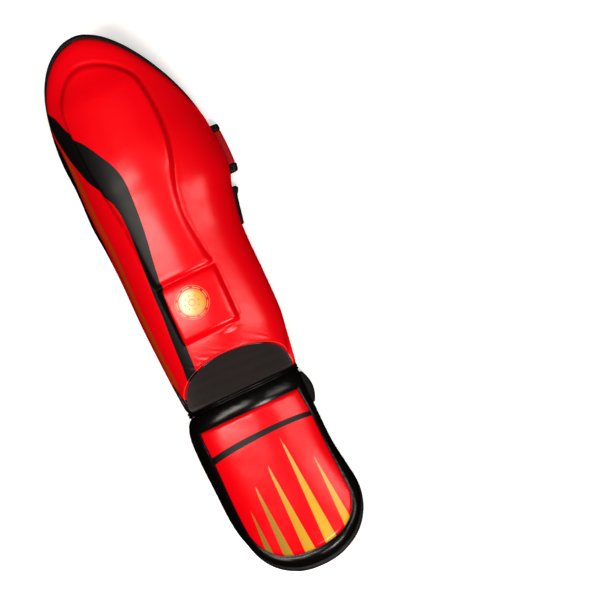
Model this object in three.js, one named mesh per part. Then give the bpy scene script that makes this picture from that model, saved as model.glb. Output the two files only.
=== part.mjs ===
// A shin and instep guard for the left or right leg, lying on its back with its front up.
// X runs across the guard, Y from the toes to the knee and Z up, in millimetres.
// The ankle seam is at Y = 0 while the pieces are made; at the end the group is moved so that
// its origin is the middle of its footprint, on the floor.

import * as THREE from 'three';

// Driving sizes of the shin shell
const SHIN_REACH = 360;
const SHIN_HALF_WIDTH = 72;
const SHIN_HEIGHT = 74;
const SHIN_DOME_START = 245;
const SHIN_DOME_POWER = 1.9;
const ANKLE_ARC_HEIGHT = 36;
const ANKLE_ARC_SPAN = 0.86;
const ANKLE_ARC_POWER = 1.7;
const HORN_TIP = 3.5;

// Driving sizes of the raised bolster on the shin
const BOLSTER_HALF_WIDTH = 42;
const BOLSTER_RISE = 9;
const BOLSTER_SLOPE = 9;
const GROOVE_DEPTH = 2.6;
const GROOVE_WIDTH = 5;

// Driving sizes of the instep shell
const INSTEP_REACH = 171;
const INSTEP_HALF_WIDTH = 65.5;
const INSTEP_HEIGHT = 50;
const TOE_DOME_START = 109;
const TOE_DOME_POWER = 2.2;

// The seam across the ankle, where both shells have one width and one height
const SEAM_LEFT = 62;
const SEAM_RIGHT = 58;
const SEAM_HEIGHT = 51;

// The padding: full thickness, the thin hem at its rim, and how the face rounds down to the hem
const PAD_THICKNESS = 15;
const HEM_THICKNESS = 4;
const HEM_DROP = 5;
const FACE_ROUND = 12;
const BACK_ROUND = 6;

// Trim and cloth
const CLEARANCE = 0.35;
const BINDING_WIDTH = 3.6;
const BINDING_WRAP = 1.1;
const WELT_RADIUS = 1.9;
const ANKLE_PANEL_THICKNESS = 3.4;
const FACING_THICKNESS = 1.5;
const FACING_TOP = 18.5;
const FACING_TOE = 155;
const FACING_LEFT = 0.64;
const FACING_RIGHT = 0.72;

// Straps: the rim of the shells is held this high over the floor where straps pass under it
const EDGE_LIFT = 9;
const STRAP_TAB_SHARE = 0.42;
const UPPER_STRAP_PAST_RIM = 2.2;
const LOWER_STRAP_PAST_RIM = -4;
const FOOT_STRAP_PAST_RIM = 0.5;
const STRAP_SEAT_GAP = 0.8;
const ELASTIC_THICKNESS = 2.2;
const WEB_THICKNESS = 2.2;
const WEB_WIDTH = 34;
const WEB_EDGE_WIDTH = 6.5;
const WEB_EDGE_THICKNESS = 3.2;
const UPPER_STRAP_Y = 219;
const LOWER_STRAP_Y = 161;
const LOWER_STRAP_WIDTH = 32;
const FOOT_STRAP_Y = -21;
const FOOT_STRAP_WIDTH = 32;

// How finely the faceted shells are cut
const SHIN_COLUMNS = 22;
const ANKLE_ROWS = 3;
const DOME_ROWS = 8;
const INSTEP_COLUMNS = 18;
const TOE_ROWS = 6;

// Sections of the shin shell from the ankle seam up: at is a share of SHIN_REACH, left and right
// are shares of SHIN_HALF_WIDTH, the wraps are the angles that each side turns through in degrees,
// crown is a share of SHIN_HEIGHT and lift a share of EDGE_LIFT.
const SHIN_SECTIONS = [
  { at: 0.0, left: SEAM_LEFT / SHIN_HALF_WIDTH, right: SEAM_RIGHT / SHIN_HALF_WIDTH,
    leftWrap: 72, rightWrap: 80, crown: SEAM_HEIGHT / SHIN_HEIGHT, lift: 0.9 },
  { at: 0.1, left: 0.885, right: 0.88, leftWrap: 76, rightWrap: 84, crown: 0.75, lift: 1.0 },
  { at: 0.16, left: 0.89, right: 0.92, leftWrap: 82, rightWrap: 86, crown: 0.79, lift: 1.0 },
  { at: 0.27, left: 0.9, right: 0.925, leftWrap: 86, rightWrap: 88, crown: 0.84, lift: 1.0 },
  { at: 0.4, left: 0.9, right: 0.93, leftWrap: 84, rightWrap: 88, crown: 0.89, lift: 1.0 },
  { at: 0.49, left: 0.93, right: 1.01, leftWrap: 74, rightWrap: 86, crown: 0.935, lift: 1.0 },
  { at: 0.56, left: 0.965, right: 1.1, leftWrap: 66, rightWrap: 84, crown: 0.97, lift: 1.0 },
  { at: 0.666, left: 0.955, right: 1.1, leftWrap: 62, rightWrap: 80, crown: 1.0, lift: 1.0 },
  { at: 0.74, left: 0.98, right: 1.08, leftWrap: 62, rightWrap: 72, crown: 1.0, lift: 1.0 },
  { at: 0.86, left: 1.02, right: 1.06, leftWrap: 62, rightWrap: 66, crown: 0.985, lift: 1.0 },
  { at: 1.0, left: 1.06, right: 1.03, leftWrap: 62, rightWrap: 62, crown: 0.94, lift: 1.0 },
];

// Sections of the instep shell from the ankle seam to the toes: at is a share of INSTEP_REACH,
// left and right are shares of INSTEP_HALF_WIDTH and crown is a share of INSTEP_HEIGHT.
const INSTEP_SECTIONS = [
  { at: 0.0, left: SEAM_LEFT / INSTEP_HALF_WIDTH, right: SEAM_RIGHT / INSTEP_HALF_WIDTH,
    leftWrap: 72, rightWrap: 80, crown: SEAM_HEIGHT / INSTEP_HEIGHT, lift: 0.9 },
  { at: 0.1, left: 1.04, right: 0.87, leftWrap: 78, rightWrap: 80, crown: 0.99, lift: 0.9 },
  { at: 0.24, left: 1.06, right: 0.875, leftWrap: 80, rightWrap: 80, crown: 0.96, lift: 0.9 },
  { at: 0.45, left: 1.06, right: 0.875, leftWrap: 80, rightWrap: 80, crown: 0.91, lift: 0.3 },
  { at: 0.6, left: 1.055, right: 0.93, leftWrap: 78, rightWrap: 76, crown: 0.87, lift: 0.12 },
  { at: 0.75, left: 1.03, right: 0.99, leftWrap: 76, rightWrap: 74, crown: 0.83, lift: 0.1 },
  { at: 1.0, left: 1.02, right: 1.05, leftWrap: 76, rightWrap: 74, crown: 0.76, lift: 0.1 },
];

// The bolster from the ankle block to the calf: at is a share of SHIN_REACH, half a share of
// BOLSTER_HALF_WIDTH and rise a share of BOLSTER_RISE.
const BOLSTER_SECTIONS = [
  { at: 0.15, half: 0.71, rise: 0.0 },
  { at: 0.177, half: 0.71, rise: 0.0 },
  { at: 0.187, half: 0.72, rise: 0.45 },
  { at: 0.33, half: 0.73, rise: 0.5 },
  { at: 0.37, half: 0.68, rise: 0.55 },
  { at: 0.46, half: 0.62, rise: 0.7 },
  { at: 0.515, half: 0.66, rise: 0.8 },
  { at: 0.565, half: 0.76, rise: 0.9 },
  { at: 0.615, half: 0.89, rise: 1.0 },
  { at: 0.68, half: 0.99, rise: 1.0 },
  { at: 0.77, half: 1.0, rise: 1.0 },
  { at: 0.83, half: 0.95, rise: 0.95 },
  { at: 0.877, half: 0.8, rise: 0.85 },
  { at: 0.915, half: 0.52, rise: 0.6 },
  { at: 0.94, half: 0.1, rise: 0.2 },
  { at: 0.96, half: 0.0, rise: 0.0 },
];
const GROOVE_AT = 0.33;

// Straight rows of the shin shell, as shares of SHIN_REACH, closer where the bolster has its steps
const SHIN_STRAIGHT_ROWS = [0.175, 0.187, 0.23, 0.285, 0.322, 0.33, 0.338, 0.385, 0.44, 0.5, 0.55, 0.6];
const INSTEP_STRAIGHT_ROWS = [0.035, 0.08, 0.16, 0.27, 0.38, 0.49, 0.58];

const COLOURS = {
  red: { color: 0xd8000f, roughness: 0.38, metalness: 0 },
  black: { color: 0x151310, roughness: 0.42, metalness: 0 },
  fabric: { color: 0x2a1e1c, roughness: 0.85, metalness: 0 },
};

// A value of a table's column at a place between its rows, on a smooth curve through the rows
function rowValue(rows, column, at) {
  const last = rows.length - 1;
  const place = Math.min(Math.max(at, rows[0].at), rows[last].at);
  let low = 0;
  while (low < last - 1 && rows[low + 1].at < place) low += 1;
  const slope = (k) => {
    const before = rows[Math.max(k - 1, 0)];
    const after = rows[Math.min(k + 1, last)];
    return (after[column] - before[column]) / (after.at - before.at);
  };
  const span = rows[low + 1].at - rows[low].at;
  const t = (place - rows[low].at) / span;
  const start = rows[low][column];
  const end = rows[low + 1][column];
  const a = slope(low) * span;
  const b = slope(low + 1) * span;
  return start + t * (a + t * (3 * (end - start) - 2 * a - b + t * (2 * (start - end) + a + b)));
}

const mix = (a, b, t) => a + (b - a) * t;
const BINDING_HALF = HEM_THICKNESS / 2 + BINDING_WRAP;
const bindingShoulder = CLEARANCE + 0.55 * BINDING_WIDTH;
const clamp01 = (t) => Math.min(Math.max(t, 0), 1);
const quarterRound = (t) => Math.sqrt(1 - (1 - clamp01(t)) ** 2);
const softStep = (t) => clamp01(t) ** 2 * (3 - 2 * clamp01(t));
const domeShare = (t, power) => Math.max(1 - Math.abs(t) ** power, 0) ** (1 / power);

const shin = {
  rows: SHIN_SECTIONS, halfWidth: SHIN_HALF_WIDTH, height: SHIN_HEIGHT, share: (y) => y / SHIN_REACH,
};
const instep = {
  rows: INSTEP_SECTIONS, halfWidth: INSTEP_HALF_WIDTH, height: INSTEP_HEIGHT,
  share: (y) => -y / INSTEP_REACH,
};

// How far across a section lies a point, from -1 at the left rim to 1 at the right rim
function acrossShare(form, s, y) {
  const side = s < 0 ? 'leftWrap' : 'rightWrap';
  const wrap = THREE.MathUtils.degToRad(rowValue(form.rows, side, form.share(y)));
  return Math.sin(s * wrap) / Math.sin(wrap);
}

// How far the binding's underside hangs below the end of an arch that turns through the wrap
function rimDepth(wrap) {
  const outer = (CLEARANCE + BINDING_WIDTH) * Math.sin(wrap) + (BINDING_HALF / 2) * Math.cos(wrap);
  const inner = bindingShoulder * Math.sin(wrap) + BINDING_HALF * Math.cos(wrap);
  return (HEM_DROP + HEM_THICKNESS / 2) * Math.cos(wrap) + Math.max(outer, inner);
}

// A point of a shell's outer arch: s runs from the left rim (-1) over the crown (0) to the right (1)
function arch(form, s, y) {
  const at = form.share(y);
  const side = s < 0 ? 'left' : 'right';
  const wrap = THREE.MathUtils.degToRad(rowValue(form.rows, side + 'Wrap', at));
  const half = form.halfWidth * rowValue(form.rows, side, at);
  const rim = EDGE_LIFT * rowValue(form.rows, 'lift', at) + rimDepth(wrap);
  const rise = form.height * rowValue(form.rows, 'crown', at) - rim;
  const up = (Math.cos(s * wrap) - Math.cos(wrap)) / (1 - Math.cos(wrap));
  return new THREE.Vector3(half * acrossShare(form, s, y), y, rim + rise * up);
}

// The arch's outward normal, from two short steps on the surface
function archNormal(form, s, y) {
  const stepS = 0.01;
  const stepY = 1;
  const across = arch(form, s + stepS, y).sub(arch(form, s - stepS, y));
  const along = arch(form, s, y + stepY).sub(arch(form, s, y - stepY));
  return across.cross(along).normalize();
}

function offsetPoint(form, s, y, offset) {
  return arch(form, s, y).addScaledVector(archNormal(form, s, y), offset);
}

// The distance along the skin from a point to an end line y = line(s), square to that line
function distanceToLine(form, s, y, line) {
  const step = 0.01;
  const run = arch(form, s + step, y).distanceTo(arch(form, s - step, y));
  const slope = (line(Math.min(s + step, 1)) - line(Math.max(s - step, -1))) / run;
  return Math.abs(line(s) - y) / Math.hypot(1, slope);
}

// The distance along the skin from a point to the nearer side rim
function distanceToSide(form, s, y) {
  const rim = arch(form, Math.sign(s) || 1, y);
  const crown = arch(form, 0, y);
  const halfArc = 1.08 * Math.hypot(rim.x - crown.x, rim.z - crown.z);
  return (1 - Math.abs(s)) * halfArc;
}

// The distance from a point to the whole rim, rounded where two edges meet
function distanceToRim(form, s, y, lines) {
  const distances = lines.map((line) => distanceToLine(form, s, y, line));
  distances.push(distanceToSide(form, s, y));
  const nearness = distances.reduce((sum, d) => sum + 1 / Math.max(d, 1e-3) ** 3, 0);
  return nearness ** (-1 / 3);
}

const faceOffset = (d) => -HEM_DROP * (1 - quarterRound(d / FACE_ROUND));
const backOffset = (d) => -mix(HEM_DROP + HEM_THICKNESS, PAD_THICKNESS, quarterRound(d / BACK_ROUND));

// A closed body from a front grid and a back grid of the same size, joined round their four edges
function shellGeometry(front, back) {
  const rows = front.length;
  const columns = front[0].length;
  const positions = [];
  for (const grid of [front, back]) {
    for (const row of grid) {
      for (const point of row) positions.push(point.x, point.y, point.z);
    }
  }
  const faces = [];
  const id = (layer, row, column) => (layer * rows + row) * columns + column;
  const quad = (a, b, c, d) => faces.push(a, b, c, a, c, d);
  for (let r = 0; r < rows - 1; r += 1) {
    for (let c = 0; c < columns - 1; c += 1) {
      quad(id(0, r, c), id(0, r, c + 1), id(0, r + 1, c + 1), id(0, r + 1, c));
      quad(id(1, r, c), id(1, r + 1, c), id(1, r + 1, c + 1), id(1, r, c + 1));
    }
  }
  for (let c = 0; c < columns - 1; c += 1) {
    quad(id(1, 0, c), id(1, 0, c + 1), id(0, 0, c + 1), id(0, 0, c));
    quad(id(0, rows - 1, c), id(0, rows - 1, c + 1), id(1, rows - 1, c + 1), id(1, rows - 1, c));
  }
  for (let r = 0; r < rows - 1; r += 1) {
    quad(id(0, r, 0), id(0, r + 1, 0), id(1, r + 1, 0), id(1, r, 0));
    quad(id(1, r, columns - 1), id(1, r + 1, columns - 1), id(0, r + 1, columns - 1), id(0, r, columns - 1));
  }
  const geometry = new THREE.BufferGeometry();
  geometry.setAttribute('position', new THREE.Float32BufferAttribute(positions, 3));
  geometry.setIndex(faces);
  geometry.computeVertexNormals();
  return geometry;
}

// A closed body from rings of points one after another. The caps at its ends are cut into the
// given triangles, or into a fan where the ring has no hollow.
function ringsGeometry(rings, capFaces) {
  const sides = rings[0].length;
  const positions = rings.flat().flatMap((point) => [point.x, point.y, point.z]);
  const faces = [];
  for (let r = 0; r < rings.length - 1; r += 1) {
    for (let k = 0; k < sides; k += 1) {
      const a = r * sides + k;
      const b = r * sides + ((k + 1) % sides);
      faces.push(a, b, b + sides, a, b + sides, a + sides);
    }
  }
  const fan = Array.from({ length: sides - 2 }, (_, k) => [0, k + 1, k + 2]);
  const end = (rings.length - 1) * sides;
  for (const [a, b, c] of capFaces ?? fan) {
    faces.push(a, c, b);
    faces.push(end + a, end + b, end + c);
  }
  const geometry = new THREE.BufferGeometry();
  geometry.setAttribute('position', new THREE.Float32BufferAttribute(positions, 3));
  geometry.setIndex(faces);
  geometry.computeVertexNormals();
  return geometry;
}

function namedMesh(name, geometry, finish) {
  const mesh = new THREE.Mesh(geometry, new THREE.MeshStandardMaterial(finish));
  mesh.name = name;
  return mesh;
}

// Evenly turned columns across a shell, closer together towards both rims
function columnShares(count, edge) {
  const shares = [];
  for (let k = 0; k <= count; k += 1) {
    shares.push(edge * Math.sin(((k / count) * 2 - 1) * Math.PI * 0.42) / Math.sin(Math.PI * 0.42));
  }
  return shares;
}

// The outlines of the shin shell: the dome at the knee and the arc with its horns at the ankle
function shinTop(s) {
  const across = acrossShare(shin, s, SHIN_DOME_START);
  return SHIN_DOME_START + (SHIN_REACH - SHIN_DOME_START) * domeShare(across, SHIN_DOME_POWER);
}
function shinBottom(s) {
  return HORN_TIP + ANKLE_ARC_HEIGHT * domeShare(Math.min(Math.abs(s) / ANKLE_ARC_SPAN, 1), ANKLE_ARC_POWER);
}

// The height of the bolster over the shell's face
function bolster(s, y) {
  const at = y / SHIN_REACH;
  const half = BOLSTER_HALF_WIDTH * rowValue(BOLSTER_SECTIONS, 'half', at);
  const inside = softStep((half - Math.abs(arch(shin, s, y).x)) / BOLSTER_SLOPE + 0.5);
  const groove = softStep(1 - Math.abs(y - GROOVE_AT * SHIN_REACH) / GROOVE_WIDTH);
  const rise = BOLSTER_RISE * Math.max(rowValue(BOLSTER_SECTIONS, 'rise', at), 0);
  return (rise - GROOVE_DEPTH * groove) * inside;
}

// Rows of the shin shell: warped at the ankle and in the dome, straight between them
function shinRows() {
  const straight = SHIN_STRAIGHT_ROWS.map((share) => share * SHIN_REACH);
  const low = straight[0];
  const high = straight[straight.length - 1];
  const rows = [];
  for (let k = 0; k < ANKLE_ROWS; k += 1) {
    rows.push((s) => mix(shinBottom(s), low, (k / ANKLE_ROWS) ** 1.4));
  }
  straight.forEach((y) => rows.push(() => y));
  for (let k = 1; k <= DOME_ROWS; k += 1) {
    rows.push((s) => mix(high, shinTop(s), 1 - (1 - k / DOME_ROWS) ** 1.4));
  }
  return rows;
}

// Columns of the shin shell, with one at each end of the ankle arc
function shinColumns() {
  const inner = columnShares(SHIN_COLUMNS, ANKLE_ARC_SPAN);
  const outer = (1 + ANKLE_ARC_SPAN) / 2;
  return [-1, -outer, ...inner, outer, 1];
}

function shinPad() {
  const lines = [shinTop, shinBottom];
  const grid = (offset) => shinRows().map((row) => shinColumns().map((s) => {
    const y = row(s);
    return offsetPoint(shin, s, y, offset(s, y, distanceToRim(shin, s, y, lines)));
  }));
  const front = grid((s, y, d) => faceOffset(d) + bolster(s, y) * quarterRound(d / FACE_ROUND));
  const back = grid((s, y, d) => backOffset(d));
  return namedMesh('shin_pad', shellGeometry(front, back), COLOURS.red);
}

// The binding's section at a point of the rim: out leads away from the pad, up through its hem
function bindingRing(form, s, y, tangent) {
  const up = archNormal(form, s, y);
  const out = tangent.clone().cross(up).normalize();
  const middle = arch(form, s, y).addScaledVector(up, -HEM_DROP - HEM_THICKNESS / 2);
  const near = CLEARANCE;
  const far = CLEARANCE + BINDING_WIDTH;
  const half = BINDING_HALF;
  const shoulder = bindingShoulder;
  const section = [
    [near, half], [shoulder, half], [far, half / 2], [far, -half / 2], [shoulder, -half], [near, -half],
  ];
  return section.map(([e, n]) => middle.clone().addScaledVector(out, e).addScaledVector(up, n));
}

// A binding along a rim given as a list of [s, y], walked with the pad on its left side
function bindingGeometry(form, rim) {
  const place = ([s, y]) => arch(form, s, y);
  const rings = rim.map(([s, y], k) => {
    const before = place(rim[Math.max(k - 1, 0)]);
    const after = place(rim[Math.min(k + 1, rim.length - 1)]);
    return bindingRing(form, s, y, after.sub(before));
  });
  return ringsGeometry(rings);
}

function shinBinding() {
  const rows = shinRows();
  const columns = shinColumns();
  const right = rows.slice(0, -1).map((row) => [1, row(1)]);
  const top = columns.map((s) => [s, shinTop(s)]).reverse();
  const left = rows.slice(0, -1).map((row) => [-1, row(-1)]).reverse();
  return namedMesh('shin_binding', bindingGeometry(shin, [...right, ...top, ...left]), COLOURS.black);
}

// The half-moon of fabric fills the ankle arc, level with the middle of the shell's hem
function anklePanel() {
  const floorY = WELT_RADIUS + CLEARANCE;
  const span = ANKLE_ARC_SPAN - CLEARANCE / SEAM_RIGHT;
  const edge = 0.985;
  const top = (s) => HORN_TIP + ANKLE_ARC_HEIGHT * domeShare(s / span, ANKLE_ARC_POWER) - 2 * CLEARANCE;
  const columns = columnShares(SHIN_COLUMNS - 4, span * edge);
  const rows = [0, 0.35, 0.7, 1];
  const middle = HEM_DROP + HEM_THICKNESS / 2;
  const grid = (offset) => rows.map((t) => columns.map((s) => {
    return offsetPoint(shin, s, mix(floorY, top(s), t), offset - middle);
  }));
  const half = ANKLE_PANEL_THICKNESS / 2;
  return namedMesh('ankle_panel', shellGeometry(grid(half), grid(-half)), COLOURS.fabric);
}

// The welt is a round roll that follows the seam from side to side
function ankleWelt() {
  const points = columnShares(SHIN_COLUMNS, 1).map((s) => {
    return offsetPoint(shin, s, 0, -HEM_DROP - HEM_THICKNESS / 2 + WELT_RADIUS / 2);
  });
  const section = new THREE.Shape().absarc(0, 0, WELT_RADIUS, 0, Math.PI * 2);
  const geometry = new THREE.ExtrudeGeometry(section, {
    steps: 26, curveSegments: 4, extrudePath: new THREE.CatmullRomCurve3(points),
  });
  return namedMesh('ankle_welt', geometry, COLOURS.black);
}

// The outlines of the instep shell: the seam end and the dome round the toes
const instepTop = () => -WELT_RADIUS - CLEARANCE;
function instepBottom(s) {
  const across = acrossShare(instep, s, -TOE_DOME_START);
  return -TOE_DOME_START - (INSTEP_REACH - TOE_DOME_START) * domeShare(across, TOE_DOME_POWER);
}

function instepRows() {
  const straight = INSTEP_STRAIGHT_ROWS.map((share) => -share * INSTEP_REACH);
  const last = straight[straight.length - 1];
  const rows = [() => instepTop(), ...straight.map((y) => () => y)];
  for (let k = 1; k <= TOE_ROWS; k += 1) {
    rows.push((s) => mix(last, instepBottom(s), 1 - (1 - k / TOE_ROWS) ** 1.4));
  }
  return rows.reverse();
}

function instepFace(s, y) {
  return faceOffset(distanceToRim(instep, s, y, [instepTop, instepBottom]));
}

function instepPad() {
  const columns = columnShares(INSTEP_COLUMNS, 1);
  const grid = (offset) => instepRows().map((row) => columns.map((s) => {
    const y = row(s);
    return offsetPoint(instep, s, y, offset(s, y));
  }));
  const back = (s, y) => backOffset(distanceToRim(instep, s, y, [instepTop, instepBottom]));
  return namedMesh('instep_pad', shellGeometry(grid(instepFace), grid(back)), COLOURS.black);
}

function instepBinding() {
  const rows = instepRows();
  const columns = columnShares(INSTEP_COLUMNS, 1);
  const left = rows.slice(1).map((row) => [-1, row(-1)]).reverse();
  const toe = columns.map((s) => [s, instepBottom(s)]);
  const right = rows.slice(1).map((row) => [1, row(1)]);
  return namedMesh('instep_binding', bindingGeometry(instep, [...left, ...toe, ...right]), COLOURS.black);
}

// The facing lies on the flat of the instep pad, with a border of the pad left all round it
function instepFacing() {
  const columns = columnShares(INSTEP_COLUMNS - 4, 1).map((t) => {
    return mix(-FACING_LEFT, FACING_RIGHT, (t + 1) / 2);
  });
  const border = INSTEP_REACH - FACING_TOE;
  const middle = (FACING_RIGHT - FACING_LEFT) / 2;
  const half = (FACING_RIGHT + FACING_LEFT) / 2;
  const domeDepth = INSTEP_REACH - TOE_DOME_START - border;
  const edge = 0.97;
  const toe = (s) => -TOE_DOME_START - domeDepth * domeShare(edge * (s - middle) / half, TOE_DOME_POWER);
  const rows = [1, 0.93, 0.8, 0.6, 0.4, 0.2, 0];
  const grid = (offset) => rows.map((t) => columns.map((s) => {
    const y = mix(-FACING_TOP, toe(s), t);
    return offsetPoint(instep, s, y, instepFace(s, y) + offset);
  }));
  const geometry = shellGeometry(grid(CLEARANCE + FACING_THICKNESS), grid(CLEARANCE));
  return namedMesh('instep_facing', geometry, COLOURS.red);
}

// Where the inside of a shell's wall stands at a height: side is -1 on the left and 1 on the right
function wallAt(form, side, y, height) {
  let low = 0;
  let high = 1;
  for (let k = 0; k < 24; k += 1) {
    const s = (low + high) / 2;
    const inside = offsetPoint(form, side * s, y, -PAD_THICKNESS);
    if (inside.z > height) low = s;
    else high = s;
  }
  return offsetPoint(form, side * low, y, -PAD_THICKNESS).x;
}

// The height of the binding's underside over the floor
function rimUnderside(form, side, y) {
  const step = 1;
  const tangent = arch(form, side, y + side * step).sub(arch(form, side, y - side * step));
  return Math.min(...bindingRing(form, side, y, tangent).map((point) => point.z));
}

// A strap's middle line in a plane across the guard: up the left wall inside, over the floor, out
// past the right rim, back under it and up the right wall inside
function strapLine(form, y, thickness, lineHeight, pastRim) {
  const rim = arch(form, 1, y);
  const ceiling = offsetPoint(form, 0, y, -PAD_THICKNESS).z;
  const tabTop = mix(rim.z, ceiling, STRAP_TAB_SHARE);
  const seat = thickness / 2 + STRAP_SEAT_GAP;
  const rightWall = wallAt(form, 1, y, tabTop) - seat;
  const leftWall = wallAt(form, -1, y, tabTop) + seat;
  const upper = rimUnderside(form, 1, y) - CLEARANCE - thickness / 2;
  const turn = (upper - lineHeight) / 2;
  const outer = rim.x + pastRim;
  const line = new THREE.Path();
  line.moveTo(leftWall, tabTop);
  line.lineTo(leftWall, lineHeight + turn);
  line.absarc(leftWall + turn, lineHeight + turn, turn, Math.PI, Math.PI * 1.5, false);
  line.lineTo(outer - turn, lineHeight);
  line.absarc(outer - turn, lineHeight + turn, turn, -Math.PI / 2, Math.PI / 2, false);
  line.lineTo(rightWall + turn, upper);
  line.absarc(rightWall + turn, upper + turn, turn, -Math.PI / 2, -Math.PI, true);
  line.lineTo(rightWall, tabTop);
  return line;
}

// The closed outline of a band of a thickness round a middle line
function bandOutline(line, thickness) {
  const points = line.getPoints(5).filter((point, k, all) => k === 0 || point.distanceTo(all[k - 1]) > 1e-6);
  const above = [];
  const below = [];
  points.forEach((point, k) => {
    const before = points[Math.max(k - 1, 0)];
    const after = points[Math.min(k + 1, points.length - 1)];
    const first = point.clone().sub(before).normalize();
    const second = after.clone().sub(point).normalize();
    const along = first.add(second).normalize();
    const square = new THREE.Vector2(-along.y, along.x).multiplyScalar(thickness / 2);
    above.push(point.clone().add(square));
    below.push(point.clone().sub(square));
  });
  return [...below, ...above.reverse()];
}

// A band of cloth across the guard, which follows the shell's rim and walls over its own width
function bandGeometry(lineAt, y, width, thickness) {
  const places = [y + width / 2, y, y - width / 2];
  const outlines = places.map((place) => bandOutline(lineAt(place), thickness));
  const rings = outlines.map((outline, k) => outline.map((p) => new THREE.Vector3(p.x, places[k], p.y)));
  return ringsGeometry(rings, THREE.ShapeUtils.triangulateShape(outlines[0], []));
}

function calfStrapUpper() {
  const lineAt = (y) => {
    return strapLine(shin, y, WEB_EDGE_THICKNESS, WEB_EDGE_THICKNESS / 2, UPPER_STRAP_PAST_RIM);
  };
  const away = (WEB_WIDTH + WEB_EDGE_WIDTH) / 2 + CLEARANCE;
  const band = (y, width, thickness) => bandGeometry(lineAt, y, width, thickness);
  return [
    namedMesh('calf_strap_upper', band(UPPER_STRAP_Y, WEB_WIDTH, WEB_THICKNESS), COLOURS.red),
    namedMesh('calf_strap_upper_edge_top',
      band(UPPER_STRAP_Y + away, WEB_EDGE_WIDTH, WEB_EDGE_THICKNESS), COLOURS.black),
    namedMesh('calf_strap_upper_edge_bottom',
      band(UPPER_STRAP_Y - away, WEB_EDGE_WIDTH, WEB_EDGE_THICKNESS), COLOURS.black),
  ];
}

function elasticStrap(name, form, y, width, pastRim) {
  const lineAt = (place) => strapLine(form, place, ELASTIC_THICKNESS, ELASTIC_THICKNESS / 2, pastRim);
  return namedMesh(name, bandGeometry(lineAt, y, width, ELASTIC_THICKNESS), COLOURS.black);
}

const guard = new THREE.Group();
guard.add(
  shinPad(), shinBinding(), anklePanel(), ankleWelt(),
  instepPad(), instepFacing(), instepBinding(),
  ...calfStrapUpper(),
  elasticStrap('calf_strap_lower', shin, LOWER_STRAP_Y, LOWER_STRAP_WIDTH, LOWER_STRAP_PAST_RIM),
  elasticStrap('foot_strap', instep, FOOT_STRAP_Y, FOOT_STRAP_WIDTH, FOOT_STRAP_PAST_RIM),
);

// The origin goes to the middle of the footprint, at the lowest point
const box = new THREE.Box3().setFromObject(guard);
const middle = box.getCenter(new THREE.Vector3());
guard.position.set(-middle.x, -middle.y, -box.min.z);

export default guard;
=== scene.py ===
# %% [markdown]
# # A shin and instep guard, dressed in leather, tape and elastic
#
# The guard is a long padded shell over the shin, a dark half-moon of stretch cloth over the bend of
# the ankle, and a shorter padded shell over the instep. Straps hold it round the calf and the foot.
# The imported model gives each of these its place. This lesson gives them their skin: each soft piece
# is worked out as a surface of two parameters, and each finish as an expression on shader values.

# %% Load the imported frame
import math

import bpy
import numpy as np
from mathutils import Matrix, Vector


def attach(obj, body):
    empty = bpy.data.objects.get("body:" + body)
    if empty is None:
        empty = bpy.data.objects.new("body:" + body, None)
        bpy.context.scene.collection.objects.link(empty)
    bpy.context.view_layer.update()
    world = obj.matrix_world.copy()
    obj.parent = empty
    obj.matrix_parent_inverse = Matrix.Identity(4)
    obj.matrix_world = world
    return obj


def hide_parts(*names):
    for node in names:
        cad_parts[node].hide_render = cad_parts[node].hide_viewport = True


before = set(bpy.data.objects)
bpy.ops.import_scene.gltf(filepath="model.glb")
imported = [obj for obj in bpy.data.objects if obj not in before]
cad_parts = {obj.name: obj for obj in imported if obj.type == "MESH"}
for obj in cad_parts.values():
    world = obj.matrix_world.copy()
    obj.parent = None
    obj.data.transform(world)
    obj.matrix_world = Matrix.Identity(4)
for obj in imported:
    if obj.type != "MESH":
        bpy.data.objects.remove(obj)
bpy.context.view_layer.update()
print("nodes in the frame:", len(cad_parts))

# %% [markdown]
# ## Where things are
#
# All surfaces below are written in millimetres round the middle of the ankle seam: x runs across,
# y from the toes to the knee, z up. One step turns them into metres in the frame's own axes, so
# that each piece is a mesh with its place in it, and its object stays at the origin.

# %% From the seam's millimetres to the frame's metres
MM = 0.001
SEAM_PLACE = np.array([-7.863, -94.521, -0.001])


def placed(points):
    """A point in the frame: the seam's own place added, and millimetres turned into metres."""
    return (np.asarray(points, dtype=float) + SEAM_PLACE) * MM


print("the ankle seam lies at", placed([0, 0, 0]))

# %% [markdown]
# ## The camera
#
# The guard lies on its back and the camera looks almost straight down on it, leaned ten degrees to
# the right and rolled so that the knee end leans to the left of the picture. A long lens keeps the
# shapes close to parallel, as in a catalogue picture. The camera is aimed beside the guard, because
# a camera's shift would move the framing in the other views too.

# %% Camera
LEAN = math.radians(10)
ROLL = math.radians(25)
CAMERA_REACH = 1600
PIVOT_HEIGHT = 30
SENSOR_WIDTH = 36
# How far beside the pivot the camera aims, and how wide the picture is there, in millimetres
AIM_RIGHT = 85.9
AIM_KNEE = 56.0
PICTURE_WIDTH = 567
toward_camera = Vector((math.sin(LEAN), 0, math.cos(LEAN)))
picture_right = Vector((math.cos(LEAN), 0, -math.sin(LEAN)))
knee_way = Vector((0, 1, 0))
pivot = Vector((0, 0, PIVOT_HEIGHT))
eye = pivot + CAMERA_REACH * toward_camera
aim = pivot + AIM_RIGHT * picture_right + AIM_KNEE * knee_way
backwards = (eye - aim).normalized()
upwards = math.cos(ROLL) * knee_way + math.sin(ROLL) * picture_right
sideways = upwards.cross(backwards).normalized()
upwards = backwards.cross(sideways)

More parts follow.
